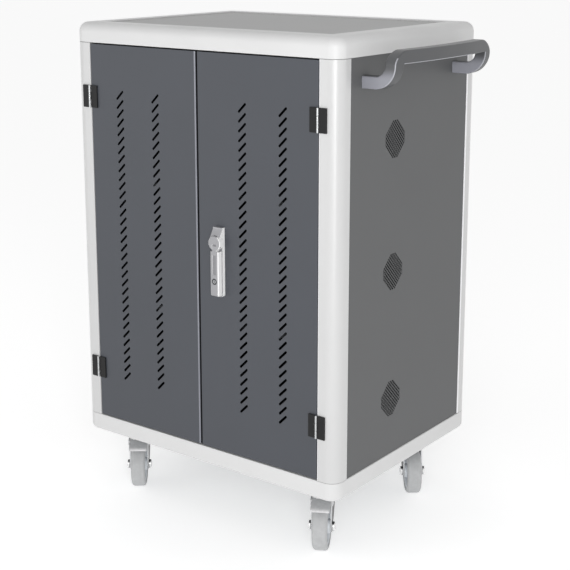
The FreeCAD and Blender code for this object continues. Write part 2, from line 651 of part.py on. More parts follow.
def mains_inlet():
    """A panel inlet with three blades and the well of the main switch beside it."""
    body = new_body("mains_inlet")
    half_x = "(inlet_width / 2)"
    half_z = "(inlet_height / 2)"
    wide = (f"{INLET_X} - {half_x}", f"{INLET_X} + {half_x}")
    tall = (f"{INLET_Z} - {half_z}", f"{INLET_Z} + {half_z}")
    outside = f"({REAR_FACE} + inlet_flange_sheet)"
    pad_block(body, wide, (f"{REAR_FACE} - inlet_depth", REAR_FACE), tall)
    flange_x = (f"{wide[0]} - inlet_flange", f"{wide[1]} + inlet_flange")
    flange_z = (f"{tall[0]} - inlet_flange", f"{tall[1]} + inlet_flange")
    pad_block(body, flange_x, (REAR_FACE, outside), flange_z)
    socket_x = f"({INLET_X} + inlet_socket_x)"
    socket_wide = (f"{socket_x} - inlet_socket_width / 2", f"{socket_x} + inlet_socket_width / 2")
    socket_tall = (f"{INLET_Z} - inlet_socket_height / 2", f"{INLET_Z} + inlet_socket_height / 2")
    floor = f"({outside} - inlet_socket_depth)"
    pocket_block(body, socket_wide, (floor, outside), socket_tall)
    for place, rise in ((-1, 0), (0, 1), (1, 0)):
        x = f"({socket_x} + {place} * blade_pitch)"
        z = f"({INLET_Z} + blade_rise + {rise} * blade_rise)"
        blade_x = (f"{x} - blade_width / 2", f"{x} + blade_width / 2")
        blade_z = (f"{z} - blade_height / 2", f"{z} + blade_height / 2")
        pad_block(body, blade_x, (floor, f"{floor} + blade_length"), blade_z)
    well_x = (f"{ROCKER_X} - rocker_width / 2 - rocker_gap", f"{ROCKER_X} + rocker_width / 2 + rocker_gap")
    well_half = "(rocker_height / 2 + rocker_swing_room + rocker_gap)"
    well_y = (f"{ROCKER_Y} - rocker_sink - 2 * rocker_gap", outside)
    pocket_block(body, well_x, well_y, (f"{INLET_Z} - {well_half}", f"{INLET_Z} + {well_half}"))
    pin_start = f"{well_x[0]} - rocker_pin_length"
    pin_length = f"({well_x[1]}) - ({well_x[0]}) + 2 * rocker_pin_length"
    pocket_round(body, "YZ", pin_start, pin_length, ROCKER_Y, INLET_Z, "rocker_pin_radius + run_gap")


def power_rocker():
    """The main switch's rocker, dished outside, tilted to off, on two stub pins along X."""
    x = f"{BODY_X} + {ROCKER_X}"
    body = new_body("power_rocker", x, f"{BODY_Y} + {ROCKER_Y}", INLET_Z)
    body.Placement = FreeCAD.Placement(FreeCAD.Vector(), FreeCAD.Rotation(FreeCAD.Vector(1, 0, 0), 1))
    bind(body, "Placement.Rotation.Angle", "rocker_tilt * 1 deg")
    half = "(rocker_height / 2)"
    profile = [("-rocker_sink", f"-{half}"), ("rocker_crest", f"-{half}"),
               ("rocker_crest - rocker_dish", "0"), ("rocker_crest", half), ("-rocker_sink", half)]
    pad(body, "YZ", "-rocker_width / 2", "rocker_width", profile)
    reach = "(rocker_width / 2 + rocker_gap + rocker_pin_length - run_gap)"
    pad_round(body, "YZ", f"-{reach}", f"2 * {reach}", "0", "0", "rocker_pin_radius")


# Push handle

def bowed_band(sketch, inside, outside):
    """A band along Y between two arcs that bow outwards by the same amount."""
    half = number("handle_span") / 2
    bow = number("handle_bow")
    near, far = number(inside), number(outside)
    vector = FreeCAD.Vector
    sketch.addGeometry([
        Part.Arc(vector(near, -half, 0), vector(near + bow, 0, 0), vector(near, half, 0)),
        Part.LineSegment(vector(near, half, 0), vector(far, half, 0)),
        Part.Arc(vector(far, -half, 0), vector(far + bow, 0, 0), vector(far, half, 0)),
        Part.LineSegment(vector(far, -half, 0), vector(near, -half, 0)),
    ])
    radius = "(handle_span ^ 2 / 4 + handle_bow ^ 2) / (2 * handle_bow)"
    held = [(Sketcher.Constraint("Coincident", *ends), None)
            for ends in ((0, 2, 1, 1), (1, 2, 2, 2), (2, 1, 3, 1), (3, 2, 0, 1))]
    corners = ((1, 1, inside, "handle_span / 2"), (1, 2, outside, "handle_span / 2"),
               (3, 1, outside, "-handle_span / 2"), (3, 2, inside, "-handle_span / 2"))
    for line, end, x, y in corners:
        held.append((Sketcher.Constraint("DistanceX", -1, 1, line, end, number(x)), x))
        held.append((Sketcher.Constraint("DistanceY", -1, 1, line, end, number(y)), y))
    for arc in (0, 2):
        held.append((Sketcher.Constraint("Radius", arc, number(radius)), radius))
    hold(sketch, held)


def corner_waste(sketch, side):
    """What a round corner at the end of the bar leaves of a square one."""
    end = f"{side} * handle_span / 2"
    middle = (f"{side} * (handle_span / 2 - handle_end_round)", f"{HANDLE_TOP} - handle_end_round")
    radius = number("handle_end_round")
    vector = FreeCAD.Vector
    tip = vector(number(end), number(HANDLE_TOP), 0)
    centre = vector(number(middle[0]), number(middle[1]), 0)
    crest = centre + vector(0, radius, 0)
    flank = centre + vector(side * radius, 0, 0)
    between = centre + vector(side, 1, 0).normalize() * radius
    sketch.addGeometry([Part.LineSegment(tip, crest), Part.LineSegment(flank, tip),
                        Part.Arc(flank, between, crest)])
    at_flank, at_crest = (1, 2) if side > 0 else (2, 1)
    held = [(Sketcher.Constraint("Coincident", *ends), None)
            for ends in ((0, 1, 1, 2), (0, 2, 2, at_crest), (1, 1, 2, at_flank))]
    for line, end_point, x, y in ((0, 1, end, HANDLE_TOP), (0, 2, middle[0], HANDLE_TOP), (2, 3, *middle)):
        held.append((Sketcher.Constraint("DistanceX", -1, 1, line, end_point, number(x)), x))
        held.append((Sketcher.Constraint("DistanceY", -1, 1, line, end_point, number(y)), y))
    held.append((Sketcher.Constraint("DistanceY", -1, 1, 1, 1, number(middle[1])), middle[1]))
    hold(sketch, held)


def push_handle():
    """Two legs that leave the side panel and bend upwards, joined by a bowed bar."""
    body = new_body("push_handle")
    panel = f"({SIDE} - panel_recess)"
    inside = f"({HANDLE_LEG_FACE} - handle_thickness)"
    bend = f"({HANDLE_LOW} + handle_thickness)"
    crook = [(panel, HANDLE_LOW), (HANDLE_LEG_FACE, HANDLE_LOW), (HANDLE_LEG_FACE, HANDLE_TOP),
             (inside, HANDLE_TOP), (inside, bend), (panel, bend)]
    for start in ("-handle_span / 2", "handle_span / 2 - handle_leg"):
        pad(body, "XZ", start, "handle_leg", crook)
    outer = lambda edge: along_y_at(edge, HANDLE_LEG_FACE, HANDLE_LOW)
    round_edges(body, "handle_bend + handle_thickness", outer)
    round_edges(body, "handle_bend", lambda edge: along_y_at(edge, inside, bend))
    bar = sketch_at(body, "XY", HANDLE_BAR_LOW)
    bowed_band(bar, inside, HANDLE_LEG_FACE)
    pad_sketch(body, bar, "XY", "handle_bar_height")
    for side in (-1, 1):
        corner = sketch_at(body, "YZ", inside)
        corner_waste(corner, side)
        pocket_sketch(body, corner, "YZ", "handle_thickness + handle_bow")


def along_y_at(edge, x, z):
    return straight_along(edge, "Y") and lies_at(edge, "X", x) and lies_at(edge, "Z", z)


# Doors

def door(name, side):
    """A pan of folded sheet with two columns of slanting slots."""
    body = new_body(name)
    meeting = f"{side} * meeting_x + meeting_gap / 2"
    wide = signed_range(side, meeting, f"{POST_X} - door_hinge_gap")
    tall = (f"{BASE_TOP} + door_gap", f"{CROWN_LOW} - door_gap")
    rim = f"({DOOR_FACE} + door_fold)"
    pad_block(body, wide, (DOOR_FACE, rim), tall)
    inside = (f"{wide[0]} + door_sheet", f"{wide[1]} - door_sheet")
    pocket_block(body, inside, (DOOR_INSIDE, rim), (f"{tall[0]} + door_sheet", f"{tall[1]} - door_sheet"))
    if side > 0:
        lock_openings(body, tall, rim)
    slots = []
    for middle in ("slot_inner_x", "slot_outer_x"):
        sketch = sketch_at(body, "XZ", DOOR_FACE)
        bind(sketch, "AttachmentOffset.Base.x", f"{side} * {middle}")
        bind(sketch, "AttachmentOffset.Base.y", f"{BASE_TOP} + slot_first")
        bind(sketch, "AttachmentOffset.Rotation.Angle", "slot_angle * 1 deg")
        round_slot(sketch, "slot_length", "slot_width")
        slots.append(pocket_sketch(body, sketch, "XZ", "door_sheet"))
    repeat(body, slots, "Z_Axis", "slot_pitch", "slot_count")


def lock_openings(body, tall, rim):
    """The spindle's hole, and a notch in the top and bottom fold for each latch rod."""
    pocket_round(body, "XZ", DOOR_FACE, "door_sheet", "lock_x", BOSS_Z, "spindle_radius + spindle_hole_gap")
    half = "(rod_width / 2 + striker_gap)"
    deep = (f"{ROD_FACE} - striker_gap", rim)
    top = (f"{tall[1]} - door_sheet", tall[1])
    low = (tall[0], f"{tall[0]} + door_sheet")
    for x, fold in (("lock_x - rod_offset", top), ("lock_x + rod_offset", low)):
        pocket_block(body, (f"{x} - {half}", f"{x} + {half}"), deep, fold)


# Hinges

def hinge_set(word, side):
    """Two butt hinges: leaves on the post with two knuckles, leaves on the door with one, and their pins."""
    axis = POST_X if side > 0 else f"-{POST_X}"
    clear = "(knuckle_radius + knuckle_gap)"
    frame_leaves, door_leaves, pins = [], [], []
    for place, centre in (("low", f"({BASE_TOP} + hinge_low)"), ("high", f"({BASE_TOP} + hinge_high)")):
        low = f"({centre} - hinge_height / 2)"
        top = f"({centre} + hinge_height / 2)"
        third = "hinge_height / 3"
        middle = (f"{low} + {third} + knuckle_gap / 2", f"{top} - {third} - knuckle_gap / 2")
        outer = ((low, f"{low} + {third} - knuckle_gap / 2"), (f"{top} - {third} + knuckle_gap / 2", top))
        name = f"{word}_{place}_hinge"
        frame_wide = signed_range(side, f"{POST_X} + {clear}", f"{POST_X} + leaf_width")
        frame_thick = (f"{FRONT} - leaf_sheet", FRONT)
        frame_web = signed_range(side, f"{POST_X} + knuckle_gap", f"{POST_X} + {clear}")
        solid = [block(f"{name}_frame_leaf", frame_wide, frame_thick, (low, top))]
        for part, zone in enumerate(outer):
            solid.append(block(f"{name}_frame_web_{part}", frame_web, frame_thick, zone))
            solid.append(rod(f"{name}_frame_knuckle_{part}", "Z", "knuckle_radius", zone, (axis, HINGE_Y)))
        bore = rod(f"{name}_frame_bore", "Z", "hinge_pin_radius + run_gap", (low, top), (axis, HINGE_Y))
        frame_leaves.append(cut(f"{name}_frame_side", fuse(f"{name}_frame_solid", solid), bore))
        door_wide = signed_range(side, f"{POST_X} - leaf_width", f"{POST_X} - {clear}")
        door_thick = (f"{DOOR_FACE} - leaf_sheet", DOOR_FACE)
        door_web = signed_range(side, f"{POST_X} - {clear}", f"{POST_X} - knuckle_gap")
        solid = [block(f"{name}_door_leaf", door_wide, door_thick, (low, top)),
                 block(f"{name}_door_web", door_web, door_thick, middle),
                 rod(f"{name}_door_knuckle", "Z", "knuckle_radius", middle, (axis, HINGE_Y))]
        bore = rod(f"{name}_door_bore", "Z", "hinge_pin_radius + run_gap", (low, top), (axis, HINGE_Y))
        door_leaves.append(cut(f"{name}_door_side", fuse(f"{name}_door_solid", solid), bore))
        pins.append(rod(f"{name}_pin", "Z", "hinge_pin_radius", (low, top), (axis, HINGE_Y)))
    group(f"{word}_hinge_frame_leaves", frame_leaves)
    group(f"{word}_hinge_door_leaves", door_leaves)
    group(f"{word}_hinge_pins", pins)


# Swing-handle lock

def about_lock(half):
    return (f"lock_x - {half}", f"lock_x + {half}")


def lock_base():
    """A slab on the door with a sloping head that curves round the boss."""
    body = new_body("lock_base")
    pad_block(body, about_lock("lock_width / 2"), (LOCK_BASE_FACE, DOOR_FACE), (LOCK_LOW, LOCK_TOP))
    head_low = f"{BOSS_Z} + lock_head_low"
    head = [(DOOR_FACE, head_low), (f"{DOOR_FACE} - lock_head_depth", head_low),
            (f"{DOOR_FACE} - lock_head_edge", LOCK_TOP), (DOOR_FACE, LOCK_TOP)]
    pad(body, "YZ", "lock_x - lock_width / 2", "lock_width", head)
    depth = f"{LOCK_BASE_FACE} - {LEVER_FACE}"
    pocket_round(body, "XZ", LEVER_FACE, depth, "lock_x", BOSS_Z, "boss_radius + boss_gap")
    pocket_round(body, "XZ", LOCK_BASE_FACE, "lock_base_depth", "lock_x", BOSS_Z, "spindle_radius + run_gap")
    round_edges(body, "lock_round", lambda edge: straight_along(edge, "Y") and lies_at(edge, "Z", LOCK_LOW))


def lock_spindle():
    """A round boss, slotted for the lever's tongue, on a shaft that goes through the door to the cam."""
    body = new_body("lock_spindle")
    depth = f"{LEVER_BACK} - {LEVER_FACE}"
    pad_round(body, "XZ", LEVER_FACE, depth, "lock_x", BOSS_Z, "boss_radius")
    pad_round(body, "XZ", LEVER_BACK, f"{CAM_FACE} - {LEVER_BACK}", "lock_x", BOSS_Z, "spindle_radius")
    round_edges(body, "boss_round", lambda edge: lies_at(edge, "Y", LEVER_FACE))
    slot = (f"{BOSS_Z} - boss_radius - tongue_gap", f"{EYE_Z} + eye_radius + tongue_gap")
    pocket_block(body, about_lock("(tongue_width / 2 + tongue_gap)"), (LEVER_FACE, LEVER_BACK), slot)
    start = "lock_x - boss_radius"
    pocket_round(body, "YZ", start, "2 * boss_radius", LEVER_MIDDLE, EYE_Z, "lever_pin_radius + run_gap")


def lock_lever():
    """The swing lever: a tongue with an eye on the pin, and an arm with a finger groove and a bore."""
    body = new_body("lock_lever")
    shoulder = f"({BOSS_Z} - boss_radius - lever_shoulder)"
    foot = f"({LOCK_LOW} + lever_foot)"
    pad_block(body, about_lock("lever_width / 2"), (LEVER_FACE, LEVER_BACK), (foot, shoulder))
    front = lambda edge: straight_along(edge, "Z") and lies_at(edge, "Y", LEVER_FACE)
    round_edges(body, "lever_round", front)
    ends = lambda edge: straight_along(edge, "Y") and lies_at(edge, "Z", foot)
    round_edges(body, "lever_round", ends)
    thick = (f"{LEVER_MIDDLE} - eye_radius", f"{LEVER_MIDDLE} + eye_radius")
    pad_block(body, about_lock("tongue_width / 2"), thick, (f"{shoulder} - lever_shoulder", EYE_Z))
    pad_round(body, "YZ", "lock_x - tongue_width / 2", "tongue_width", LEVER_MIDDLE, EYE_Z, "eye_radius")
    bore = "lever_pin_radius + run_gap"
    pocket_round(body, "YZ", "lock_x - tongue_width / 2", "tongue_width", LEVER_MIDDLE, EYE_Z, bore)
    groove = (f"{KEY_Z} + cylinder_radius + lever_groove_end", f"{shoulder} - lever_groove_end")
    deep = (LEVER_FACE, f"{LEVER_FACE} + lever_groove_depth")
    pocket_block(body, about_lock("lever_groove_width / 2"), deep, groove)
    depth = f"{LEVER_BACK} - {LEVER_FACE}"
    pocket_round(body, "XZ", LEVER_FACE, depth, "lock_x", KEY_Z, "cylinder_radius + run_gap")


def lock_inserts():
    """The lever's pin, the lock cylinder in the lever and the key plug in the cylinder."""
    half = "lever_pin_half_length"
    keep(rod("lever_pin", "X", "lever_pin_radius", about_lock(half), (LEVER_MIDDLE, EYE_Z)), "lever_pin")
    depth = f"{LEVER_BACK} - {LEVER_FACE}"
    barrel = new_body("lock_cylinder")
    pad_round(barrel, "XZ", LEVER_FACE, depth, "lock_x", KEY_Z, "cylinder_radius")
    pocket_round(barrel, "XZ", LEVER_FACE, depth, "lock_x", KEY_Z, "plug_radius + run_gap")
    plug = new_body("key_plug")
    pad_round(plug, "XZ", LEVER_FACE, depth, "lock_x", KEY_Z, "plug_radius")
    tall = (f"{KEY_Z} - key_slot_length / 2", f"{KEY_Z} + key_slot_length / 2")
    pocket_block(plug, about_lock("key_slot_width / 2"), (LEVER_FACE, f"{LEVER_FACE} + key_slot_depth"), tall)


# Latch on the inside of the right door

def latch_cam():
    """A plate on the spindle with a pin at each end, one for each rod."""
    body = new_body("latch_cam")
    sketch = sketch_at(body, "XZ", CAM_BACK)
    bind(sketch, "AttachmentOffset.Base.x", "lock_x")
    bind(sketch, "AttachmentOffset.Base.y", BOSS_Z)
    bind(sketch, "AttachmentOffset.Rotation.Angle", "cam_angle * 1 deg")
    round_slot(sketch, "2 * cam_pin_throw + cam_width", "cam_width")
    pad_sketch(body, sketch, "XZ", "cam_sheet")
    length = "2 * rod_gap + rod_sheet"
    pad_round(body, "XZ", CAM_FACE, length, f"lock_x - {CAM_PIN}", f"{BOSS_Z} + {CAM_PIN}", "cam_pin_radius")
    pad_round(body, "XZ", CAM_FACE, length, f"lock_x + {CAM_PIN}", f"{BOSS_Z} - {CAM_PIN}", "cam_pin_radius")
    pocket_round(body, "XZ", CAM_BACK, "cam_sheet", "lock_x", BOSS_Z, "spindle_radius + run_gap")


def latch_rod(name, x, eye, low, high):
    """A flat rod with a slotted eye that a pin of the cam moves up and down."""
    body = new_body(name)
    thick = (ROD_FACE, ROD_BACK)
    pad_block(body, (f"{x} - rod_width / 2", f"{x} + rod_width / 2"), thick, (low, high))
    wide = (f"{x} - rod_eye_width / 2", f"{x} + rod_eye_width / 2")
    pad_block(body, wide, thick, (f"{eye} - rod_eye_height / 2", f"{eye} + rod_eye_height / 2"))
    slot = (f"{x} - rod_slot_length / 2", f"{x} + rod_slot_length / 2")
    pocket_block(body, slot, thick, (f"{eye} - rod_slot_height / 2", f"{eye} + rod_slot_height / 2"))


def latch_rods():
    upper_eye = f"({BOSS_Z} + {CAM_PIN})"
    lower_eye = f"({BOSS_Z} - {CAM_PIN})"
    latch_rod("upper_latch_rod", "(lock_x - rod_offset)", upper_eye, upper_eye, f"{CROWN_LOW} - rod_end_gap")
    latch_rod("lower_latch_rod", "(lock_x + rod_offset)", lower_eye, f"{BASE_TOP} + rod_end_gap", lower_eye)


def rod_guides_and_strikers():
    """Two guides for each rod on the door, and a striker plate in each moulding."""
    upper = "(lock_x - rod_offset)"
    lower = "(lock_x + rod_offset)"
    guides = []
    places = (("upper_end", upper, f"{CROWN_LOW} - guide_end"),
              ("upper_inner", upper, f"{BOSS_Z} + guide_inner"),
              ("lower_inner", lower, f"{BOSS_Z} - guide_inner"),
              ("lower_end", lower, f"{BASE_TOP} + guide_end"))
    for word, x, centre in places:
        tall = (f"{centre} - guide_height / 2", f"{centre} + guide_height / 2")
        wide = (f"{x} - guide_width / 2", f"{x} + guide_width / 2")
        solid = block(f"{word}_guide_block", wide, (DOOR_INSIDE, f"{ROD_BACK} + guide_wall"), tall)
        way = (f"{x} - rod_width / 2 - guide_gap", f"{x} + rod_width / 2 + guide_gap")
        deep = (f"{ROD_FACE} - guide_gap", f"{ROD_BACK} + guide_gap")
        guides.append(cut(f"{word}_guide", solid, block(f"{word}_guide_way", way, deep, tall)))
    group("rod_guides", guides)
    strikers = []
    levels = (("upper", upper, (CROWN_LOW, f"{CROWN_LOW} + striker_sheet")),
              ("lower", lower, (f"{BASE_TOP} - striker_sheet", BASE_TOP)))
    for word, x, tall in levels:
        wide = (f"{x} - striker_length / 2", f"{x} + striker_length / 2")
        deep = (f"{ROD_Y} - striker_depth / 2", f"{ROD_Y} + striker_depth / 2")
        hole_x = (f"{x} - rod_width / 2 - striker_gap", f"{x} + rod_width / 2 + striker_gap")
        hole_y = (f"{ROD_FACE} - striker_gap", f"{ROD_BACK} + striker_gap")
        hole = block(f"{word}_striker_hole", hole_x, hole_y, tall)
        strikers.append(cut(f"{word}_striker", block(f"{word}_striker_block", wide, deep, tall), hole))
    group("striker_plates", strikers)


# Castors. Each has its own frame under its king pin; at no turn its axle lies along X and it trails to -Y.

def castor_plate(name, x, y):
    """A plate under the tray with the race of the swivel and its riveted king pin."""
    half_x = "plate_width / 2"
    half_y = "plate_depth / 2"
    under = "(castor_height - plate_sheet)"
    wide = (f"{x} - {half_x}", f"{x} + {half_x}")
    flat = block(f"{name}_flat", wide, (f"{y} - {half_y}", f"{y} + {half_y}"), (under, "castor_height"))
    race = DOC.addObject("Part::Cone", f"{name}_race")
    race_low = "(fork_crown_top + swivel_gap)"
    bind(race, "Radius1", "race_low_radius")
    bind(race, "Radius2", "race_top_radius")
    bind(race, "Height", f"{under} - {race_low}")
    bind(race, "Placement.Base.x", f"{BODY_X} + {x}")
    bind(race, "Placement.Base.y", f"{BODY_Y} + {y}")
    bind(race, "Placement.Base.z", race_low)
    head_top = "(fork_crown_top - fork_crown - swivel_gap)"
    pin = rod(f"{name}_king_pin", "Z", "king_pin_radius", (f"{head_top} - king_head", under), (x, y))
    head = rod(f"{name}_king_head", "Z", "king_head_radius", (f"{head_top} - king_head", head_top), (x, y))
    return fuse(name, [flat, race, pin, head])


def castor_fork(name, x, y, turn, braked):
    """A crown with two legs; on a braked castor each leg carries a stub for the pedal."""
    body = new_body(name, x, y, "0", turn)
    axle_y = "(-castor_trail)"
    corner = "(fork_eye / 2)"
    tip = "wheel_radius - fork_eye"
    cheek = f"wheel_radius - {corner}"
    profile = [("fork_back", "fork_crown_top"), ("fork_back", "fork_crown_top - fork_skirt"),
               (f"{axle_y} + fork_eye", cheek), (f"{axle_y} + {corner}", tip),
               (f"{axle_y} - {corner}", tip), (f"{axle_y} - fork_eye", cheek),
               (f"{axle_y} - fork_eye", "wheel_radius + fork_eye"), ("-fork_front", "fork_crown_top")]
    pad(body, "YZ", f"-{FORK_OUTER}", f"2 * {FORK_OUTER}", profile)
    under = "(fork_crown_top - fork_crown)"
    inner = ("-fork_inner_width / 2", "fork_inner_width / 2")
    pocket_block(body, inner, (f"{axle_y} - 2 * fork_eye", "fork_back"), (tip, under))
    crown_corner = lambda edge: lies_at(edge, "Z", "fork_crown_top") and straight_along(edge, "Y")
    round_edges(body, "fork_round", crown_corner)
    pocket_round(body, "XY", under, "fork_crown", "0", "0", "king_pin_radius + run_gap")
    bore = "axle_radius + run_gap"
    pocket_round(body, "YZ", f"-{FORK_OUTER}", f"2 * {FORK_OUTER}", axle_y, "wheel_radius", bore)
    if braked:
        length = "(2 * pedal_side_gap + pedal_ear)"
        for level in (FORK_OUTER, f"-{FORK_OUTER} - {length}"):
            pad_round(body, "YZ", level, length, "-pedal_pivot_y", "pedal_pivot_z", "pedal_pivot_radius")


def castor_wheel(word, x, y, turn):
    """The axle with a round head at each end, the wheel's core and its tyre, turned about X."""
    trail_x = f"castor_trail * sin({turn} * 1 deg)"
    trail_y = f"castor_trail * cos({turn} * 1 deg)"
    place = (f"{x} + {trail_x}", f"{y} - {trail_y}", "wheel_radius", turn)
    end = f"({FORK_OUTER} + axle_head)"
    axle = new_body(f"{word}_axle", *place)
    revolve(axle, [(f"-{end}", "0"), (f"-{end}", "axle_head_radius"), (f"-{FORK_OUTER}", "axle_head_radius"),
                   (f"-{FORK_OUTER}", "axle_radius"), (FORK_OUTER, "axle_radius"),
                   (FORK_OUTER, "axle_head_radius"), (end, "axle_head_radius"), (end, "0")])
    hub = "(fork_inner_width / 2 - hub_side_gap)"
    bore = "(axle_radius + run_gap)"
    bed = f"({TYRE_BORE} - rim_depth)"
    core = new_body(f"{word}_wheel_core", *place)
    revolve(core, [(f"-{hub}", bore), (f"-{hub}", "hub_radius"), ("-web_half_width", "hub_radius"),
                   ("-web_half_width", bed), ("-rim_half_width", bed), ("-rim_half_width", TYRE_BORE),
                   ("rim_half_width", TYRE_BORE),
                   ("rim_half_width", bed), ("web_half_width", bed), ("web_half_width", "hub_radius"),
                   (hub, "hub_radius"), (hub, bore)])
    tyre = new_body(f"{word}_tyre", *place)
    half = "(tyre_width / 2)"
    revolve(tyre, [(f"-{half}", TYRE_BORE), (f"-{half}", "wheel_radius"),
                   (half, "wheel_radius"), (half, TYRE_BORE)])
    reach = number("wheel_radius")
    shoulder = lambda edge: abs(edge.BoundBox.ZMax - reach) < 1e-3 and edge.BoundBox.XLength < 1e-3
    round_edges(tyre, "tyre_round", shoulder)


def brake_pedal(name, x, y, turn):
    """A sloping plate over the wheel, narrower at its tread, with two ears on the fork's stubs."""
    body = new_body(name, x, y, "0", turn)
    near = f"({FORK_OUTER} + pedal_side_gap)"
    far = f"({near} + pedal_ear)"
    step = "(pedal_top - pedal_drop)"
    tip = "-pedal_end - pedal_lip"
    plate = [("-pedal_start", "pedal_top"), ("-pedal_end", step), (tip, f"{step} - pedal_lip"),
             (tip, f"{step} - pedal_lip - pedal_sheet"), ("-pedal_end", f"{step} - pedal_sheet"),
             ("-pedal_start", "pedal_top - pedal_sheet")]
    pad(body, "YZ", f"-{far}", f"2 * {far}", plate)
    rear = "pedal_ear_radius - pedal_pivot_y"
    ear = [(rear, "pedal_pivot_z - pedal_ear_radius"), (rear, "pedal_pivot_z + pedal_ear_radius"),
           ("-pedal_start", "pedal_top"), ("-pedal_end", step), ("-pedal_end", f"{step} - pedal_sheet"),
           ("-pedal_start", "pedal_pivot_z - pedal_ear_radius")]
    for level in (near, f"-{far}"):
        pad(body, "YZ", level, "pedal_ear", ear)
    bore = "pedal_pivot_radius + run_gap"
    pocket_round(body, "YZ", f"-{far}", f"2 * {far}", "-pedal_pivot_y", "pedal_pivot_z", bore)
    front = (tip, "-pedal_start - pedal_neck")
    tall = (f"{step} - pedal_lip - pedal_sheet", "pedal_top")
    for wide in (("pedal_tread_width / 2", far), (f"-{far}", "-pedal_tread_width / 2")):
        pocket_block(body, wide, front, tall)


def castors():
    plates = []
    left, right = f"(castor_side_inset - {SIDE})", f"({SIDE} - castor_side_inset)"
    front, rear = f"({FRONT} + castor_front_inset)", f"({BACK} - castor_rear_inset)"
    places = (("front_left", left, front), ("front_right", right, front),
              ("rear_left", left, rear), ("rear_right", right, rear))
    for word, x, y in places:
        plates.append(castor_plate(f"{word}_castor_plate", x, y))
        place = (f"{BODY_X} + {x}", f"{BODY_Y} + {y}", f"turn_{word}")
        braked = y == front
        castor_fork(f"{word}_fork", *place, braked)
        castor_wheel(word, *place)
        if braked:
            brake_pedal(f"{word}_brake_pedal", *place)
    group("castor_plates", plates)


def build():
    base_moulding()
    crown_moulding()
    sheet_metal_floor()
    top_panel()
    corner_post("front_left_post", -1, -1)
    corner_post("front_right_post", 1, -1)
    corner_post("rear_left_post", -1, 1)
    corner_post("rear_right_post", 1, 1)
    side_panel("left_side_panel", -1)
    side_panel("right_side_panel", 1)
    rear_panel()
    shelves_and_rails()
    device_dividers()
    socket_strips()
    charge_controller()
    mains_inlet()
    power_rocker()
    push_handle()
    door("left_door", -1)
    door("right_door", 1)
    hinge_set("left", -1)
    hinge_set("right", 1)
    lock_base()
    lock_spindle()
    lock_lever()
    lock_inserts()
    latch_cam()
    latch_rods()
    rod_guides_and_strikers()
    castors()


def write_nodes():
    """Checks the whole document, then writes one file for each sub-part."""
    DOC.recompute()
    for thing in DOC.Objects:
        if "Invalid" in thing.State or "Error" in thing.State:
            raise RuntimeError(f"{thing.Label}: {thing.State}")
    os.makedirs("parts", exist_ok=True)
    for thing in SUBPARTS:
        if thing.Shape.isNull() or not thing.Shape.isValid():
            raise RuntimeError(f"{thing.Label}: no valid shape")
        thing.Shape.exportStep(f"parts/{thing.Label}.step")


build()
write_nodes()
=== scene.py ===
"""Looks of the charging cabinet: finishes for its parts, finer outer pieces, a studio and a camera."""
import json
import math

import bmesh
import bpy
from mathutils import Matrix, Vector

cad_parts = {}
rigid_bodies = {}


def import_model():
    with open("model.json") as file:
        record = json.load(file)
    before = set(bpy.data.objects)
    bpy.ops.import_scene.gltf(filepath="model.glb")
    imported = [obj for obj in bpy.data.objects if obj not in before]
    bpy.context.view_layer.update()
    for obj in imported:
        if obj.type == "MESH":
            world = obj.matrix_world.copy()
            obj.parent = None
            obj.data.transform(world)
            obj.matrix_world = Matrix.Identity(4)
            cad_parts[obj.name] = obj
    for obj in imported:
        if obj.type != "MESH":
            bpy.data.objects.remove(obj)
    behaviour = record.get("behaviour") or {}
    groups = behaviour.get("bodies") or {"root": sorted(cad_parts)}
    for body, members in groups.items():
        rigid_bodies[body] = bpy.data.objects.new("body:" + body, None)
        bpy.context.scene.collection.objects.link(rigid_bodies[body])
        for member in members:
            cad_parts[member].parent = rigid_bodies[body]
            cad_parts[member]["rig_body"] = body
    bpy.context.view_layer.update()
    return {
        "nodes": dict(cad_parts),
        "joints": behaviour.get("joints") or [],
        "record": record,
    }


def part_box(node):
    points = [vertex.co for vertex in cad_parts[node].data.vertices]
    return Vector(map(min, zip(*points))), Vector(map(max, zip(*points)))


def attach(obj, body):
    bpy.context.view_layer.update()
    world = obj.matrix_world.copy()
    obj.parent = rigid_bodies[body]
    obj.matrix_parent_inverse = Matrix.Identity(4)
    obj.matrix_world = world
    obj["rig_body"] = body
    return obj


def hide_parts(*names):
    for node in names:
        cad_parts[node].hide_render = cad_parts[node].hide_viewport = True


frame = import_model()
MM = 0.001

# Sizes in millimetres of what the frame's boxes don't give, and counts of steps round a curve
CORNER_RADIUS, CROWN_ROUND, BASE_ROUND = 28, 20, 10
CORNER_STEPS, CROWN_STEPS, BASE_STEPS = 14, 10, 8
RIM_WIDTH, CROWN_FLANGE, TOP_LEDGE, TOP_GAP, TRAY_GAP = 38, 12, 12, 0.3, 0.2
EDGE_ROUND, POST_EDGE, FOLD_ROUND, MEETING_ROUND, PANEL_EDGE = 1.6, 2.4, 1.4, 3, 0.8
SHEET, RIM_SHEET = 1.2, 2
SLOT_LENGTH, SLOT_WIDTH, SLOT_ANGLE, SLOT_SIDES = 27, 5.4, 45, 12
SLOT_FIRST, SLOT_PITCH, SLOT_COUNT, SLOT_COLUMNS = 109, 19.5, 33, (115, 215)
VENT_Y, VENT_FIRST, VENT_PITCH, VENT_COUNT = -62, 123, 272.5, 3
VENT_HALF_WIDTH, VENT_HALF_HEIGHT, VENT_TAPER = 36, 38, 27.5
VENT_CELL, VENT_WIRE, VENT_SHEET, VENT_SINK = 5.7, 1.3, 0.5, 0.2
HANDLE_THICKNESS, HANDLE_BEND, HANDLE_BOW = 24, 22, 13
HANDLE_BAR_HEIGHT, HANDLE_EDGE, HANDLE_LEAN = 26, 3, 14
HANDLE_EDGE_STEPS, LEG_STEPS, BEND_STEPS, BAR_STEPS = 4, 4, 14, 16
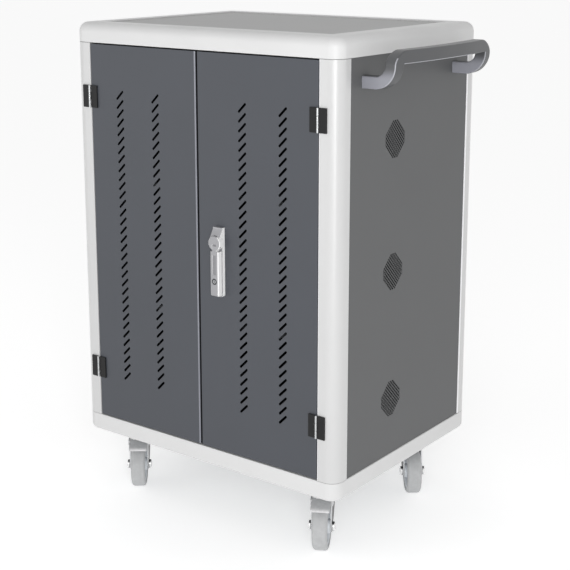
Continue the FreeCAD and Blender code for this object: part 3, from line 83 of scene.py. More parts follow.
HINGE_HEIGHT, HINGE_RISES = 48, (115, 725)
LEAF_WIDTH, LEAF_SHEET, LEAF_EDGE, WEB_INSET, WEB_LAP = 20, 3.5, 0.7, 0.2, 0.5
KNUCKLE_RADIUS, KNUCKLE_GAP, KNUCKLE_EDGE, KNUCKLE_SIDES = 2.2, 0.5, 0.35, 32
TYRE_WIDTH, TYRE_DEPTH, TYRE_ROUND, TYRE_LIP, WHEEL_RADIUS = 32, 10, 7, 1, 50
TREAD_GROOVES, TREAD_PITCH, TREAD_SINK = 5, 3, 0.35
HUB_HALF, HUB_RADIUS, HUB_FLARE, WEB_HALF = 18, 14, 3, 5
RIM_HALF, RIM_DEPTH, RIM_FLARE = 14, 7, 2
AXLE_RADIUS, AXLE_HEAD_RADIUS, AXLE_HEAD, AXLE_FOOT, FORK_HALF = 5, 9.5, 7.5, 1.2, 21.5
# The axle head's dome, as distance back from its end and part of its radius
AXLE_DOME = ((0, 0), (0.4, 0.45), (1.4, 0.8), (2.6, 1))
GROOVE_DEPTHS = (0.5, 2)
# How far a cutter runs past what it cuts, and where a door's slot cutters start and end from its face
OVERRUN, VENT_OVERRUN, SLOT_REACH = 20, 4, (-3, 6)
# Points this close are one, and edges shorter than a sliver go
DOUBLE, SLIVER, HANDLE_DOUBLE = 0.002, 0.001, 0.01

JOINTS = {joint["name"]: joint for joint in frame["joints"]}
SLOTS = {subpart["node"]: subpart["material_slot"] for subpart in frame["record"]["subparts"]}
CASTORS = ("front_left", "front_right", "rear_left", "rear_right")
# Smaller parts that keep their own form, under the millimetres by which their edges are rounded
SOFT_EDGES = {
    0.8: ["castor_plates", "charge_controller", "socket_strips", "rod_guides"],
    0.5: ["mains_inlet", "power_rocker", "device_dividers"],
    0.3: ["latch_cam", "upper_latch_rod", "lower_latch_rod", "striker_plates", "lower_shelf", "upper_shelf",
          "shelf_rails", "rear_panel", "base_tray"],
}
FORK_EDGE, LOCK_EDGE, PLUG_EDGE = 1.0, 0.8, 0.3


def linear(code):
    """The linear colour of an sRGB hex value."""
    parts = [int(code[place:place + 2], 16) / 255 for place in (1, 3, 5)]
    return [part / 12.92 if part <= 0.04045 else ((part + 0.055) / 1.055) ** 2.4 for part in parts] + [1.0]


# Finishes

def add(tree, kind, inputs=(), **settings):
    """Adds a node with its settings, and fills or links its inputs."""
    node = tree.nodes.new("ShaderNode" + kind)
    for name, value in settings.items():
        setattr(node, name, value)
    for socket, value in dict(inputs).items():
        if isinstance(value, bpy.types.NodeSocket):
            tree.links.new(value, node.inputs[socket])
        else:
            node.inputs[socket].default_value = value
    return node


def start(name, roughness, metallic=0.0, ior=1.5):
    """A material with its shader's constant values set, and the coordinates that its patterns use."""
    material = bpy.data.materials.new(name)
    material.use_nodes = True
    tree = material.node_tree
    shader = tree.nodes["Principled BSDF"]
    shader.inputs["Roughness"].default_value = roughness
    shader.inputs["Metallic"].default_value = metallic
    if not metallic:
        shader.inputs["IOR"].default_value = ior
    place = add(tree, "TexCoord").outputs["Object"]
    return material, tree, shader, place


def per_mm(size):
    """A texture scale that makes a pattern's parts about size millimetres wide."""
    return 1 / (size * MM)


def powder_coat(name, colour, shade, roughness=0.5, gloss=0.0, shine=0.5):
    """Baked powder paint on metal: an even satin film with a fine orange peel and faint clouding."""
    material, tree, shader, place = start(name, roughness)
    shader.inputs["Specular IOR Level"].default_value = shine
    shader.inputs["Coat Weight"].default_value = gloss
    shader.inputs["Coat Roughness"].default_value = 0.32
    cloud = add(tree, "TexNoise", {"Vector": place, "Scale": per_mm(140), "Detail": 3})
    tint = add(tree, "Mix", {"Factor": cloud.outputs["Fac"], "A": linear(colour), "B": linear(shade)},
               data_type="RGBA")
    tree.links.new(tint.outputs["Result"], shader.inputs["Base Color"])
    # The peel is under a millimetre wide in life and is drawn wider here, so that it shows
    peel = add(tree, "TexNoise", {"Vector": place, "Scale": per_mm(2.5), "Detail": 2})
    bump = add(tree, "Bump", {"Height": peel.outputs["Fac"], "Strength": 0.12, "Distance": 0.3 * MM})
    tree.links.new(bump.outputs["Normal"], shader.inputs["Normal"])
    return material


def moulded_plastic(name, colour, shade, roughness=0.45, texture_mm=1.8):
    """Injection-moulded plastic: a spark-eroded grain from the mould and slight drift in colour and gloss."""
    material, tree, shader, place = start(name, roughness)
    drift = add(tree, "TexNoise", {"Vector": place, "Scale": per_mm(90), "Detail": 2})
    tint = add(tree, "Mix", {"Factor": drift.outputs["Fac"], "A": linear(colour), "B": linear(shade)},
               data_type="RGBA")
    tree.links.new(tint.outputs["Result"], shader.inputs["Base Color"])
    gloss = add(tree, "MapRange", {"Value": drift.outputs["Fac"], "To Min": roughness - 0.05,
                                   "To Max": roughness + 0.07})
    tree.links.new(gloss.outputs["Result"], shader.inputs["Roughness"])
    grain = add(tree, "TexVoronoi", {"Vector": place, "Scale": per_mm(texture_mm)})
    bump = add(tree, "Bump", {"Height": grain.outputs["Distance"], "Strength": 0.06, "Distance": 0.2 * MM})
    tree.links.new(bump.outputs["Normal"], shader.inputs["Normal"])
    return material


def painted_sheen_plastic(name, colour, pale, levels, roughness=0.36):
    """Moulded ABS with a painted sheen: pale at the foot of a piece, fading upwards into its own colour."""
    material, tree, shader, place = start(name, roughness)
    height = add(tree, "SeparateXYZ", {"Vector": place}).outputs["Z"]
    fade = add(tree, "MapRange", {"Value": height, "From Min": levels[0], "From Max": levels[1]},
               interpolation_type="SMOOTHSTEP")
    tint = add(tree, "Mix", {"Factor": fade.outputs["Result"], "A": linear(pale), "B": linear(colour)},
               data_type="RGBA")
    tree.links.new(tint.outputs["Result"], shader.inputs["Base Color"])
    grain = add(tree, "TexVoronoi", {"Vector": place, "Scale": per_mm(2)})
    bump = add(tree, "Bump", {"Height": grain.outputs["Distance"], "Strength": 0.06, "Distance": 0.2 * MM})
    tree.links.new(bump.outputs["Normal"], shader.inputs["Normal"])
    return material


def zinc_plate(name, colour, shade, spangle_mm, roughness=0.34, metallic=0.85):
    """Plated steel: cool grey metal whose crystals differ a little in tone and gloss."""
    material, tree, shader, place = start(name, roughness, metallic)
    crystals = add(tree, "TexVoronoi", {"Vector": place, "Scale": per_mm(spangle_mm), "Randomness": 1.0})
    tone = add(tree, "SeparateColor", {"Color": crystals.outputs["Color"]})
    tint = add(tree, "Mix", {"Factor": tone.outputs["Red"], "A": linear(colour), "B": linear(shade)},
               data_type="RGBA")
    tree.links.new(tint.outputs["Result"], shader.inputs["Base Color"])
    gloss = add(tree, "MapRange", {"Value": tone.outputs["Green"], "To Min": roughness - 0.07,
                                   "To Max": roughness + 0.1})
    tree.links.new(gloss.outputs["Result"], shader.inputs["Roughness"])
    return material


def die_cast(name, colour, shade, roughness=0.32, metallic=0.9):
    """Plated or lacquered zinc die casting: bright metal with a soft satin haze."""
    material, tree, shader, place = start(name, roughness, metallic)
    haze = add(tree, "TexNoise", {"Vector": place, "Scale": per_mm(14), "Detail": 4})
    tint = add(tree, "Mix", {"Factor": haze.outputs["Fac"], "A": linear(colour), "B": linear(shade)},
               data_type="RGBA")
    tree.links.new(tint.outputs["Result"], shader.inputs["Base Color"])
    bump = add(tree, "Bump", {"Height": haze.outputs["Fac"], "Strength": 0.05, "Distance": 0.2 * MM})
    tree.links.new(bump.outputs["Normal"], shader.inputs["Normal"])
    return material


def tyre_rubber(name, colour, dust):
    """Grey thermoplastic rubber: dull, finely pitted, with patches of dust."""
    material, tree, shader, place = start(name, 0.62)
    patches = add(tree, "TexNoise", {"Vector": place, "Scale": per_mm(18), "Detail": 6, "Roughness": 0.7})
    worn = add(tree, "MapRange", {"Value": patches.outputs["Fac"], "From Min": 0.35, "From Max": 0.75})
    tint = add(tree, "Mix", {"Factor": worn.outputs["Result"], "A": linear(colour), "B": linear(dust)},
               data_type="RGBA")
    tree.links.new(tint.outputs["Result"], shader.inputs["Base Color"])
    pits = add(tree, "TexNoise", {"Vector": place, "Scale": per_mm(1.5), "Detail": 3})
    bump = add(tree, "Bump", {"Height": pits.outputs["Fac"], "Strength": 0.2, "Distance": 0.3 * MM})
    tree.links.new(bump.outputs["Normal"], shader.inputs["Normal"])
    return material


FINISH = {
    # Crown and base: pale ABS with an even, soft sheen
    "light_grey_moulding": moulded_plastic("moulded_abs_light_grey", "#DFDFDF", "#D9D9D9", 0.42, 2.4),
    # Posts: pale paint with a clear gloss, for the bright streak down each corner
    "post_paint": powder_coat("powder_coated_aluminium_light_grey", "#D0D0D0", "#CBCBCB", 0.3, 1.0),
    # Doors, side panels and top: satin greys, the doors' a little blue
    "grey_paint": powder_coat("powder_coated_steel_blue_grey", "#464950", "#43464C"),
    "panel_paint": powder_coat("powder_coated_steel_grey", "#5C5D5E", "#595A5B"),
    "top_grey": powder_coat("powder_coated_steel_mid_grey", "#9C9C9C", "#959595", 0.45),
    # Sheet inside: dull metal with a large spangle
    "bare_steel": zinc_plate("galvanised_sheet", "#A9ACAE", "#8F9395", 9, 0.42),
    # Castors and pins: pale plating, and brighter drawn steel
    "zinc": zinc_plate("bright_zinc_plate", "#D2D3D4", "#C8C9CA", 6, 0.36, 0.25),
    "pin_steel": zinc_plate("drawn_steel_pin", "#C8C9CA", "#BCBEBF", 3, 0.28),
    # Hinge leaves: dull black, so that they stay dark in the light
    "hinge_dark": powder_coat("black_painted_hinge_steel", "#161617", "#131314", shine=0.3),
    # Lock: satin silver outside, dark plating within
    "lock_silver": die_cast("satin_lacquered_die_casting", "#A2A2A5", "#9A9A9D", 0.36, 0.3),
    "lock_dark": die_cast("dark_plated_lock_steel", "#4A4C4E", "#3A3C3E", 0.38),
    # Handle, bays and fittings: grained dark plastics
    "handle_grey": moulded_plastic("moulded_abs_slate", "#525355", "#4E4F51", 0.4, 2.0),
    "bay_plastic": moulded_plastic("moulded_polypropylene_black", "#2B2C2E", "#252628", 0.5),
    "black_plastic": moulded_plastic("moulded_abs_black", "#1B1B1C", "#161617", 0.42),
    # Wheels: matt grey tyres on pale, slightly blue cores
    "tyre_grey": tyre_rubber("grey_thermoplastic_rubber", "#BCBDBE", "#AEAFB0"),
    "core_grey": moulded_plastic("moulded_nylon_grey", "#DCE0E4", "#D3D7DB", 0.4),
}

# Second finishes of faces that look unlike the rest of their piece, most of them painted light and shade
# Door edges: painted shade, nearly black, where the doors face each other, and a painted highlight on a fold
SHADED_FOLD = powder_coat("powder_coated_steel_painted_gap_shade", "#141416", "#121214", 0.7, shine=0.1)
PAINTED_HIGHLIGHT_FOLD = powder_coat("powder_coated_steel_painted_fold_highlight", "#8D8F98", "#868890", 0.3)
# Handle edges: a painted highlight, a pale line along them
PAINTED_HIGHLIGHT_SLATE = moulded_plastic("moulded_abs_slate_painted_edge_highlight", "#A6A7AE", "#9EA0A6", 0.3, 2.0)
# Posts: a painted highlight, a white line along their inner edges, and painted shade, a grey line where they
# meet the mouldings
PAINTED_HIGHLIGHT_EDGE = powder_coat("powder_coated_aluminium_painted_edge_highlight", "#F6F6F8", "#F0F0F2", 0.3)
SEAM_SHADE = powder_coat("powder_coated_aluminium_painted_seam_shade", "#8A8A8A", "#848484", 0.6)
# Lock: a greyer groove down the lever, white sides that are a painted highlight, and a bright plug
GROOVE_SILVER = die_cast("brushed_die_casting_groove", "#8E8E91", "#858588", 0.45, 0.3)
PAINTED_HIGHLIGHT_SIDES = die_cast("die_casting_painted_side_highlight", "#FFFFFF", "#FAFAFA", 0.3, 0.0)
PLUG_STEEL = die_cast("bright_lock_plug_steel", "#A5A6A8", "#97989A", 0.35, 0.5)
# Castors: painted light on pedal fronts, painted shade on fork sides and axle feet, painted highlight on caps
PAINTED_LIT_PEDAL_ZINC = zinc_plate("zinc_pedal_painted_lit_fronts", "#D6D6D7", "#CDCDCE", 6, 0.36, 0.1)
PAINTED_SHADE_ZINC = zinc_plate("zinc_painted_shade", "#4C4D4F", "#434446", 6, 0.4, 0.4)
PAINTED_HIGHLIGHT_CAP = zinc_plate("cap_steel_painted_highlight", "#F2F2F2", "#EAEAEA", 4, 0.2, 0.3)


# Mesh work

def block(bm, low, high):
    """A block between two corners."""
    verts = bmesh.ops.create_cube(bm, size=1)["verts"]
    bmesh.ops.scale(bm, vec=Vector(high) - Vector(low), verts=verts)
    bmesh.ops.translate(bm, vec=(Vector(low) + Vector(high)) / 2, verts=verts)


def rod(bm, radius, start_point, end_point, segments):
    """A closed cylinder from one point to another."""
    along = Vector(end_point) - Vector(start_point)
    turn = along.to_track_quat("Z", "Y").to_matrix().to_4x4()
    place = Matrix.Translation((Vector(start_point) + Vector(end_point)) / 2) @ turn
    bmesh.ops.create_cone(bm, cap_ends=True, segments=segments, radius1=radius, radius2=radius,
                          depth=along.length, matrix=place)


def verts_of(geom):
    """The vertices in an operator's result."""
    return [part for part in geom if isinstance(part, bmesh.types.BMVert)]


def faces_of(geom):
    """The faces in an operator's result."""
    return [part for part in geom if isinstance(part, bmesh.types.BMFace)]


def all_of(bm):
    """All that a mesh is made of, for operators that take any kind."""
    return bm.verts[:] + bm.edges[:] + bm.faces[:]


def edges_where(bm, test):
    """The edges both of whose ends pass a test."""
    return [edge for edge in bm.edges if all(test(vert.co) for vert in edge.verts)]


def upright(bm):
    """The edges that run along Z."""
    return [edge for edge in bm.edges
            if abs(edge.verts[0].co.z - edge.verts[1].co.z) > 0.9 * edge.calc_length()]


def creases(bm, angle=40):
    """The edges where two faces meet at more than an angle."""
    return [edge for edge in bm.edges if edge.is_manifold and edge.calc_face_angle() > math.radians(angle)]


def soften(bm, edges, width, segments=3):
    """Rounds edges by a width in millimetres."""
    bmesh.ops.bevel(bm, geom=edges, offset=width * MM, offset_type="OFFSET", affect="EDGES",
                    segments=segments, profile=0.5, material=-1, clamp_overlap=True)


def near(value, level):
    """Whether a coordinate lies on a level."""
    return abs(value - level) < 1e-6


def grown(corner, amount):
    """A corner moved by millimetres along each axis."""
    return Vector(corner) + Vector(amount) * MM


def carve(bm, cutter):
    """Takes a cutter's solid away from a mesh."""
    solids = []
    for name, source in (("whole", bm), ("cutter", cutter)):
        bmesh.ops.recalc_face_normals(source, faces=source.faces)
        mesh = bpy.data.meshes.new(name)
        source.to_mesh(mesh)
        source.free()
        solids.append(bpy.data.objects.new(name, mesh))
        bpy.context.scene.collection.objects.link(solids[-1])
    cut = solids[0].modifiers.new("cut", "BOOLEAN")
    cut.operation, cut.solver, cut.object = "DIFFERENCE", "EXACT", solids[1]
    result = bmesh.new()
    result.from_object(solids[0], bpy.context.evaluated_depsgraph_get())
    for solid in solids:
        bpy.data.meshes.remove(solid.data)
    return result


def carve_block(bm, low, high):
    """Takes a block between two corners away from a mesh."""
    cutter = bmesh.new()
    block(cutter, low, high)
    return carve(bm, cutter)


def join(bm, other):
    """Adds another mesh to a mesh."""
    mesh = bpy.data.meshes.new("joined")
    other.to_mesh(mesh)
    other.free()
    bm.from_mesh(mesh)
    bpy.data.meshes.remove(mesh)


def piece(name, bm, slot, body, *nodes, angle=35):
    """Makes a finished mesh an object that rides on a body and stands for CAD nodes."""
    bmesh.ops.recalc_face_normals(bm, faces=bm.faces)
    mesh = bpy.data.meshes.new(name)
    bm.to_mesh(mesh)
    bm.free()
    mesh.shade_smooth()
    mesh.set_sharp_from_angle(angle=math.radians(angle))
    thing = bpy.data.objects.new(name, mesh)
    bpy.context.scene.collection.objects.link(thing)
    mesh.materials.append(FINISH[slot])
    thing.modifiers.new("even_normals", "WEIGHTED_NORMAL").keep_sharp = True
    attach(thing, body)
    if nodes:
        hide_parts(*nodes)
    return thing


def paint(thing, finish, test):
    """Gives a second finish to the faces whose middle and unit direction pass a test."""
    thing.data.materials.append(finish)
    for face in thing.data.polygons:
        if test(face.center, face.normal):
            face.material_index = len(thing.data.materials) - 1


def softened(node, width, segments=2):
    """A node's own form with its doubles merged, its flat faces joined and its edges rounded."""
    bm = bmesh.new()
    bm.from_mesh(frame["nodes"][node].data)
    bmesh.ops.remove_doubles(bm, verts=bm.verts, dist=DOUBLE * MM)
    bmesh.ops.dissolve_limit(bm, angle_limit=math.radians(1), verts=bm.verts, edges=bm.edges)
    soften(bm, creases(bm), width, segments)
    bmesh.ops.dissolve_degenerate(bm, dist=SLIVER * MM, edges=bm.edges)
    return piece("fine_" + node, bm, SLOTS[node], frame["nodes"][node]["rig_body"], node)


# Moulded frame

BODY_LOW, BODY_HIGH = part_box("base_moulding")
CROWN_LOW, CROWN_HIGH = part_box("crown_moulding")
MID = (BODY_LOW + BODY_HIGH) / 2
OPENING_LOW = BODY_HIGH.z


def crown_moulding():
    """A deep rounded ring with a seat for the top panel and a cavity below."""
    bm = bmesh.new()
    block(bm, CROWN_LOW, CROWN_HIGH)
    soften(bm, upright(bm), CORNER_RADIUS, CORNER_STEPS)
    soften(bm, edges_where(bm, lambda co: near(co.z, CROWN_HIGH.z)), CROWN_ROUND, CROWN_STEPS)
    soften(bm, edges_where(bm, lambda co: near(co.z, CROWN_LOW.z)), EDGE_ROUND)
    panel_low, panel_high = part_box("top_panel")
    gap, ledge, rim, through = TOP_GAP, TOP_LEDGE, RIM_WIDTH, 3 * OVERRUN
    bm = carve_block(bm, grown(panel_low, (-gap, -gap, 0)), grown(panel_high, (gap, gap, OVERRUN)))
    bm = carve_block(bm, grown(panel_low, (ledge, ledge, -through)),
                     grown(panel_high, (-ledge, -ledge, through)))
    bm = carve_block(bm, grown(CROWN_LOW, (rim, rim, -OVERRUN)),
                     grown(CROWN_HIGH, (-rim, -rim, -CROWN_FLANGE)))
    piece("crown_ring", bm, "light_grey_moulding", "cabinet", "crown_moulding")


def base_moulding():
    """A shallow ring, well rounded below, with the tray and the floor let into it."""
    bm = bmesh.new()
    block(bm, BODY_LOW, BODY_HIGH)
    soften(bm, upright(bm), CORNER_RADIUS, CORNER_STEPS)
    soften(bm, edges_where(bm, lambda co: near(co.z, BODY_LOW.z)), BASE_ROUND, BASE_STEPS)
    soften(bm, edges_where(bm, lambda co: near(co.z, BODY_HIGH.z)), EDGE_ROUND)
    tray_low, tray_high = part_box("base_tray")
    tray_rim = (tray_high.x, tray_high.y, tray_low.z + RIM_SHEET * MM)
    floor_low, floor_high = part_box("floor_panel")
    gap, rim, past = TRAY_GAP, RIM_WIDTH, OVERRUN / 2
    bm = carve_block(bm, grown(tray_low, (-gap, -gap, -past)), grown(tray_rim, (gap, gap, 0)))
    bm = carve_block(bm, grown(floor_low, (-gap, -gap, 0)), grown(floor_high, (gap, gap, past)))
    bm = carve_block(bm, grown(BODY_LOW, (rim, rim, -OVERRUN)), grown(BODY_HIGH, (-rim, -rim, OVERRUN)))
    piece("base_ring", bm, "light_grey_moulding", "cabinet", "base_moulding")


def corner_posts():
    """Four extrusions, round at the cabinet's corner and softly edged beside doors and panels."""
    for node in ("front_left_post", "front_right_post", "rear_left_post", "rear_right_post"):
        low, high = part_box(node)
        outer_x = low.x if low.x < MID.x else high.x
        outer_y = low.y if low.y < MID.y else high.y

        def at_corner(co):
            return near(co.x, outer_x) and near(co.y, outer_y)

        def on_inner_edge(middle, way):
            far = max(abs(middle.x - outer_x), abs(middle.y - outer_y))
            return min(abs(way.x), abs(way.y)) > 0.2 and far > (CORNER_RADIUS + 1) * MM

        bm = bmesh.new()
        block(bm, low, high)
        soften(bm, [edge for edge in upright(bm) if not at_corner(edge.verts[0].co)], POST_EDGE)
        soften(bm, edges_where(bm, at_corner), CORNER_RADIUS, CORNER_STEPS)
        ends = [edge for level in (low.z, high.z) for edge in edges_where(bm, lambda co: near(co.z, level))]
        soften(bm, ends, PANEL_EDGE, 2)
        post = piece("fine_" + node, bm, "post_paint", "cabinet", node)
        # Painted highlight: a white line down the inner edges of the right-hand posts
        if outer_x > MID.x:
            paint(post, PAINTED_HIGHLIGHT_EDGE, on_inner_edge)
        # Painted shade on the posts' rounded ends, where they meet the mouldings
        paint(post, SEAM_SHADE, lambda middle, way: 0.2 < abs(way.z) < 0.95)


def top_panel():
    """A flat sheet with a softened upper edge, let into the crown."""
    low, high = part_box("top_panel")
    bm = bmesh.new()
    block(bm, low, high)
    soften(bm, edges_where(bm, lambda co: near(co.z, high.z)), PANEL_EDGE)
    piece("fine_top_panel", bm, "top_grey", "cabinet", "top_panel")


# Doors

def slot_cutter(columns, depth):
    """All the slanting slots of a door as one cutter, over a range of depths along Y."""
    bm = bmesh.new()
    # Turned by half a side, so that no corner stands on the line where the circle is stretched
    half_side = Matrix.Rotation(math.radians(180 / SLOT_SIDES), 4, "Z")
    lie = Matrix.Rotation(math.radians(90), 4, "X") @ half_side
    made = bmesh.ops.create_circle(bm, cap_ends=True, segments=SLOT_SIDES, radius=SLOT_WIDTH / 2 * MM,
                                   matrix=lie)
    stretch = (SLOT_LENGTH - SLOT_WIDTH) / 2 * MM
    for vert in made["verts"]:
        vert.co.x += math.copysign(stretch, vert.co.x)
    slant = Matrix.Rotation(math.radians(-SLOT_ANGLE), 3, "Y")
    bmesh.ops.rotate(bm, cent=(0, 0, 0), matrix=slant, verts=bm.verts)
    grow = bmesh.ops.extrude_face_region(bm, geom=bm.faces[:])["geom"]
    bmesh.ops.translate(bm, vec=(0, depth[1] - depth[0], 0), verts=verts_of(grow))
    first = all_of(bm)
    for x in columns:
        for place in range(SLOT_COUNT):
            made = bmesh.ops.duplicate(bm, geom=first)["geom"]
            spot = (x, depth[0], OPENING_LOW + (SLOT_FIRST + place * SLOT_PITCH) * MM)
            bmesh.ops.translate(bm, vec=spot, verts=verts_of(made))
    bmesh.ops.delete(bm, geom=verts_of(first), context="VERTS")
    return bm


def doors():
    """Folded pans with rounded folds and two columns of slots."""
    for node, body, side in (("left_door", "left_door_body", -1), ("right_door", "right_door_body", 1)):
        low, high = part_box(node)
        meeting = (high if side < 0 else low).x
        hinged = (low if side < 0 else high).x

        def in_gap(middle, way):
            return abs(middle.x - meeting) < 0.1 * MM and abs(way.x) > 0.9

        def on_fold(middle, way):
            return abs(middle.x - meeting) < MEETING_ROUND * MM and 0.2 < abs(way.x) < 0.95

        bm = bmesh.new()
        block(bm, low, high)
        soften(bm, edges_where(bm, lambda co: near(co.x, meeting) and near(co.y, low.y)), MEETING_ROUND)
        for axis, level in ("x", hinged), ("z", low.z), ("z", high.z):
            rim = edges_where(bm, lambda co: near(co.y, low.y) and near(getattr(co, axis), level))
            soften(bm, rim, FOLD_ROUND)
        bm = carve_block(bm, grown(low, (SHEET, SHEET, SHEET)), grown(high, (-SHEET, OVERRUN, -SHEET)))
        columns = [MID.x + side * column * MM for column in SLOT_COLUMNS]
        bm = carve(bm, slot_cutter(columns, [low.y + reach * MM for reach in SLOT_REACH]))
        door = piece("fine_" + node, bm, "grey_paint", body, node)
        # Painted highlight on the left door's meeting fold, and painted shade in the gap and on the right
        # door's fold
        paint(door, SHADED_FOLD, lambda middle, way: in_gap(middle, way) or side > 0 and on_fold(middle, way))
        if side < 0:
            paint(door, PAINTED_HIGHLIGHT_FOLD, on_fold)


# Side panels

def vent_outline():
    """The sides of a vent's eight-sided outline, as distance and direction in the panel's plane."""
    slant = (VENT_HALF_WIDTH + VENT_HALF_HEIGHT - VENT_TAPER) / math.sqrt(2)
    distances = (VENT_HALF_WIDTH, slant, VENT_HALF_HEIGHT, slant) * 2
    for place, distance in enumerate(distances):
        angle = math.radians(45 * place)
        yield distance * MM, Vector((0, math.cos(angle), math.sin(angle)))


def vent_mesh(x_range):
    """A sheet of fine crossed wires on the slant, trimmed to the vent's outline."""
    bm = bmesh.new()
    cells = math.ceil(2 * VENT_HALF_HEIGHT / VENT_CELL)
    bmesh.ops.create_grid(bm, x_segments=cells, y_segments=cells, size=cells * VENT_CELL / 2 * MM)
    stand = Matrix.Rotation(math.radians(45), 3, "X") @ Matrix.Rotation(math.radians(90), 3, "Y")
    bmesh.ops.rotate(bm, cent=(0, 0, 0), matrix=stand, verts=bm.verts)
    holes = bm.faces[:]
    bmesh.ops.inset_individual(bm, faces=holes, thickness=VENT_WIRE / 2 * MM, use_even_offset=True)
    bmesh.ops.delete(bm, geom=holes, context="FACES_ONLY")
    for distance, way in vent_outline():
        bmesh.ops.bisect_plane(bm, geom=all_of(bm), plane_co=way * distance, plane_no=way, clear_outer=True)
    bmesh.ops.translate(bm, vec=(x_range[0], 0, 0), verts=bm.verts)
    grow = bmesh.ops.extrude_face_region(bm, geom=bm.faces[:], use_keep_orig=True)["geom"]
    bmesh.ops.translate(bm, vec=(x_range[1] - x_range[0], 0, 0), verts=verts_of(grow))
    return bm


def vent_hole(centre):
    """A cutter of the vent's outline."""
    bm = bmesh.new()
    half = Vector((VENT_OVERRUN, VENT_HALF_WIDTH, VENT_HALF_HEIGHT)) * MM
    block(bm, -half, half)
    deep = [edge for edge in bm.edges
            if abs(edge.verts[0].co.x - edge.verts[1].co.x) > VENT_OVERRUN * MM]
    soften(bm, deep, VENT_TAPER, 1)
    bmesh.ops.translate(bm, vec=centre, verts=bm.verts)
    return bm


def side_panels():
    """Folded pans between the posts, each with three pierced vents let into the sheet."""
    for node in ("left_side_panel", "right_side_panel"):
        low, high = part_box(node)
        outside = low.x if low.x < MID.x else high.x
        inward = 1 if low.x < MID.x else -1
        bm = bmesh.new()
        block(bm, low, high)
        soften(bm, edges_where(bm, lambda co: near(co.x, outside)), PANEL_EDGE)
        hollow_low = grown(low, (SHEET, SHEET, SHEET))
        hollow_high = grown(high, (-SHEET, -SHEET, -SHEET))
        if inward > 0:
            hollow_high.x = high.x + OVERRUN / 2 * MM
        else:
            hollow_low.x = low.x - OVERRUN / 2 * MM
        bm = carve_block(bm, hollow_low, hollow_high)
        depths = (VENT_SINK, VENT_SINK + VENT_SHEET)
        field = vent_mesh(sorted(outside + inward * depth * MM for depth in depths))
        sample = all_of(field)
        cutter = bmesh.new()
        for place in range(VENT_COUNT):
            rise = OPENING_LOW + (VENT_FIRST + place * VENT_PITCH) * MM
            centre = Vector((0, MID.y + VENT_Y * MM, rise))
            join(cutter, vent_hole(centre + Vector((outside, 0, 0))))
            made = bmesh.ops.duplicate(field, geom=sample)["geom"]
            bmesh.ops.translate(field, vec=centre, verts=verts_of(made))
        bmesh.ops.delete(field, geom=verts_of(sample), context="VERTS")
        bm = carve(bm, cutter)
        join(bm, field)
        piece("fine_" + node, bm, "panel_paint", "cabinet", node)


# Push handle

def with_rim(section):
    """A section with its edges, so that drawing it out leaves no face behind."""
    return section + section[0].edges[:]


def drawn(bm, section, way, steps):
    """Extrudes a section along a line in equal steps, and gives its end."""
    for step in range(steps):
        grow = bmesh.ops.extrude_face_region(bm, geom=with_rim(section))["geom"]
        bmesh.ops.translate(bm, vec=Vector(way) / steps, verts=verts_of(grow))
        section = faces_of(grow)
    return section


def spun(bm, section, centre, axis, steps):
    """Leads a section round a quarter turn, and gives its end."""
    grow = bmesh.ops.spin(bm, geom=with_rim(section), cent=centre, axis=axis, angle=math.pi / 2,
                          steps=steps)["geom_last"]
    return faces_of(grow)


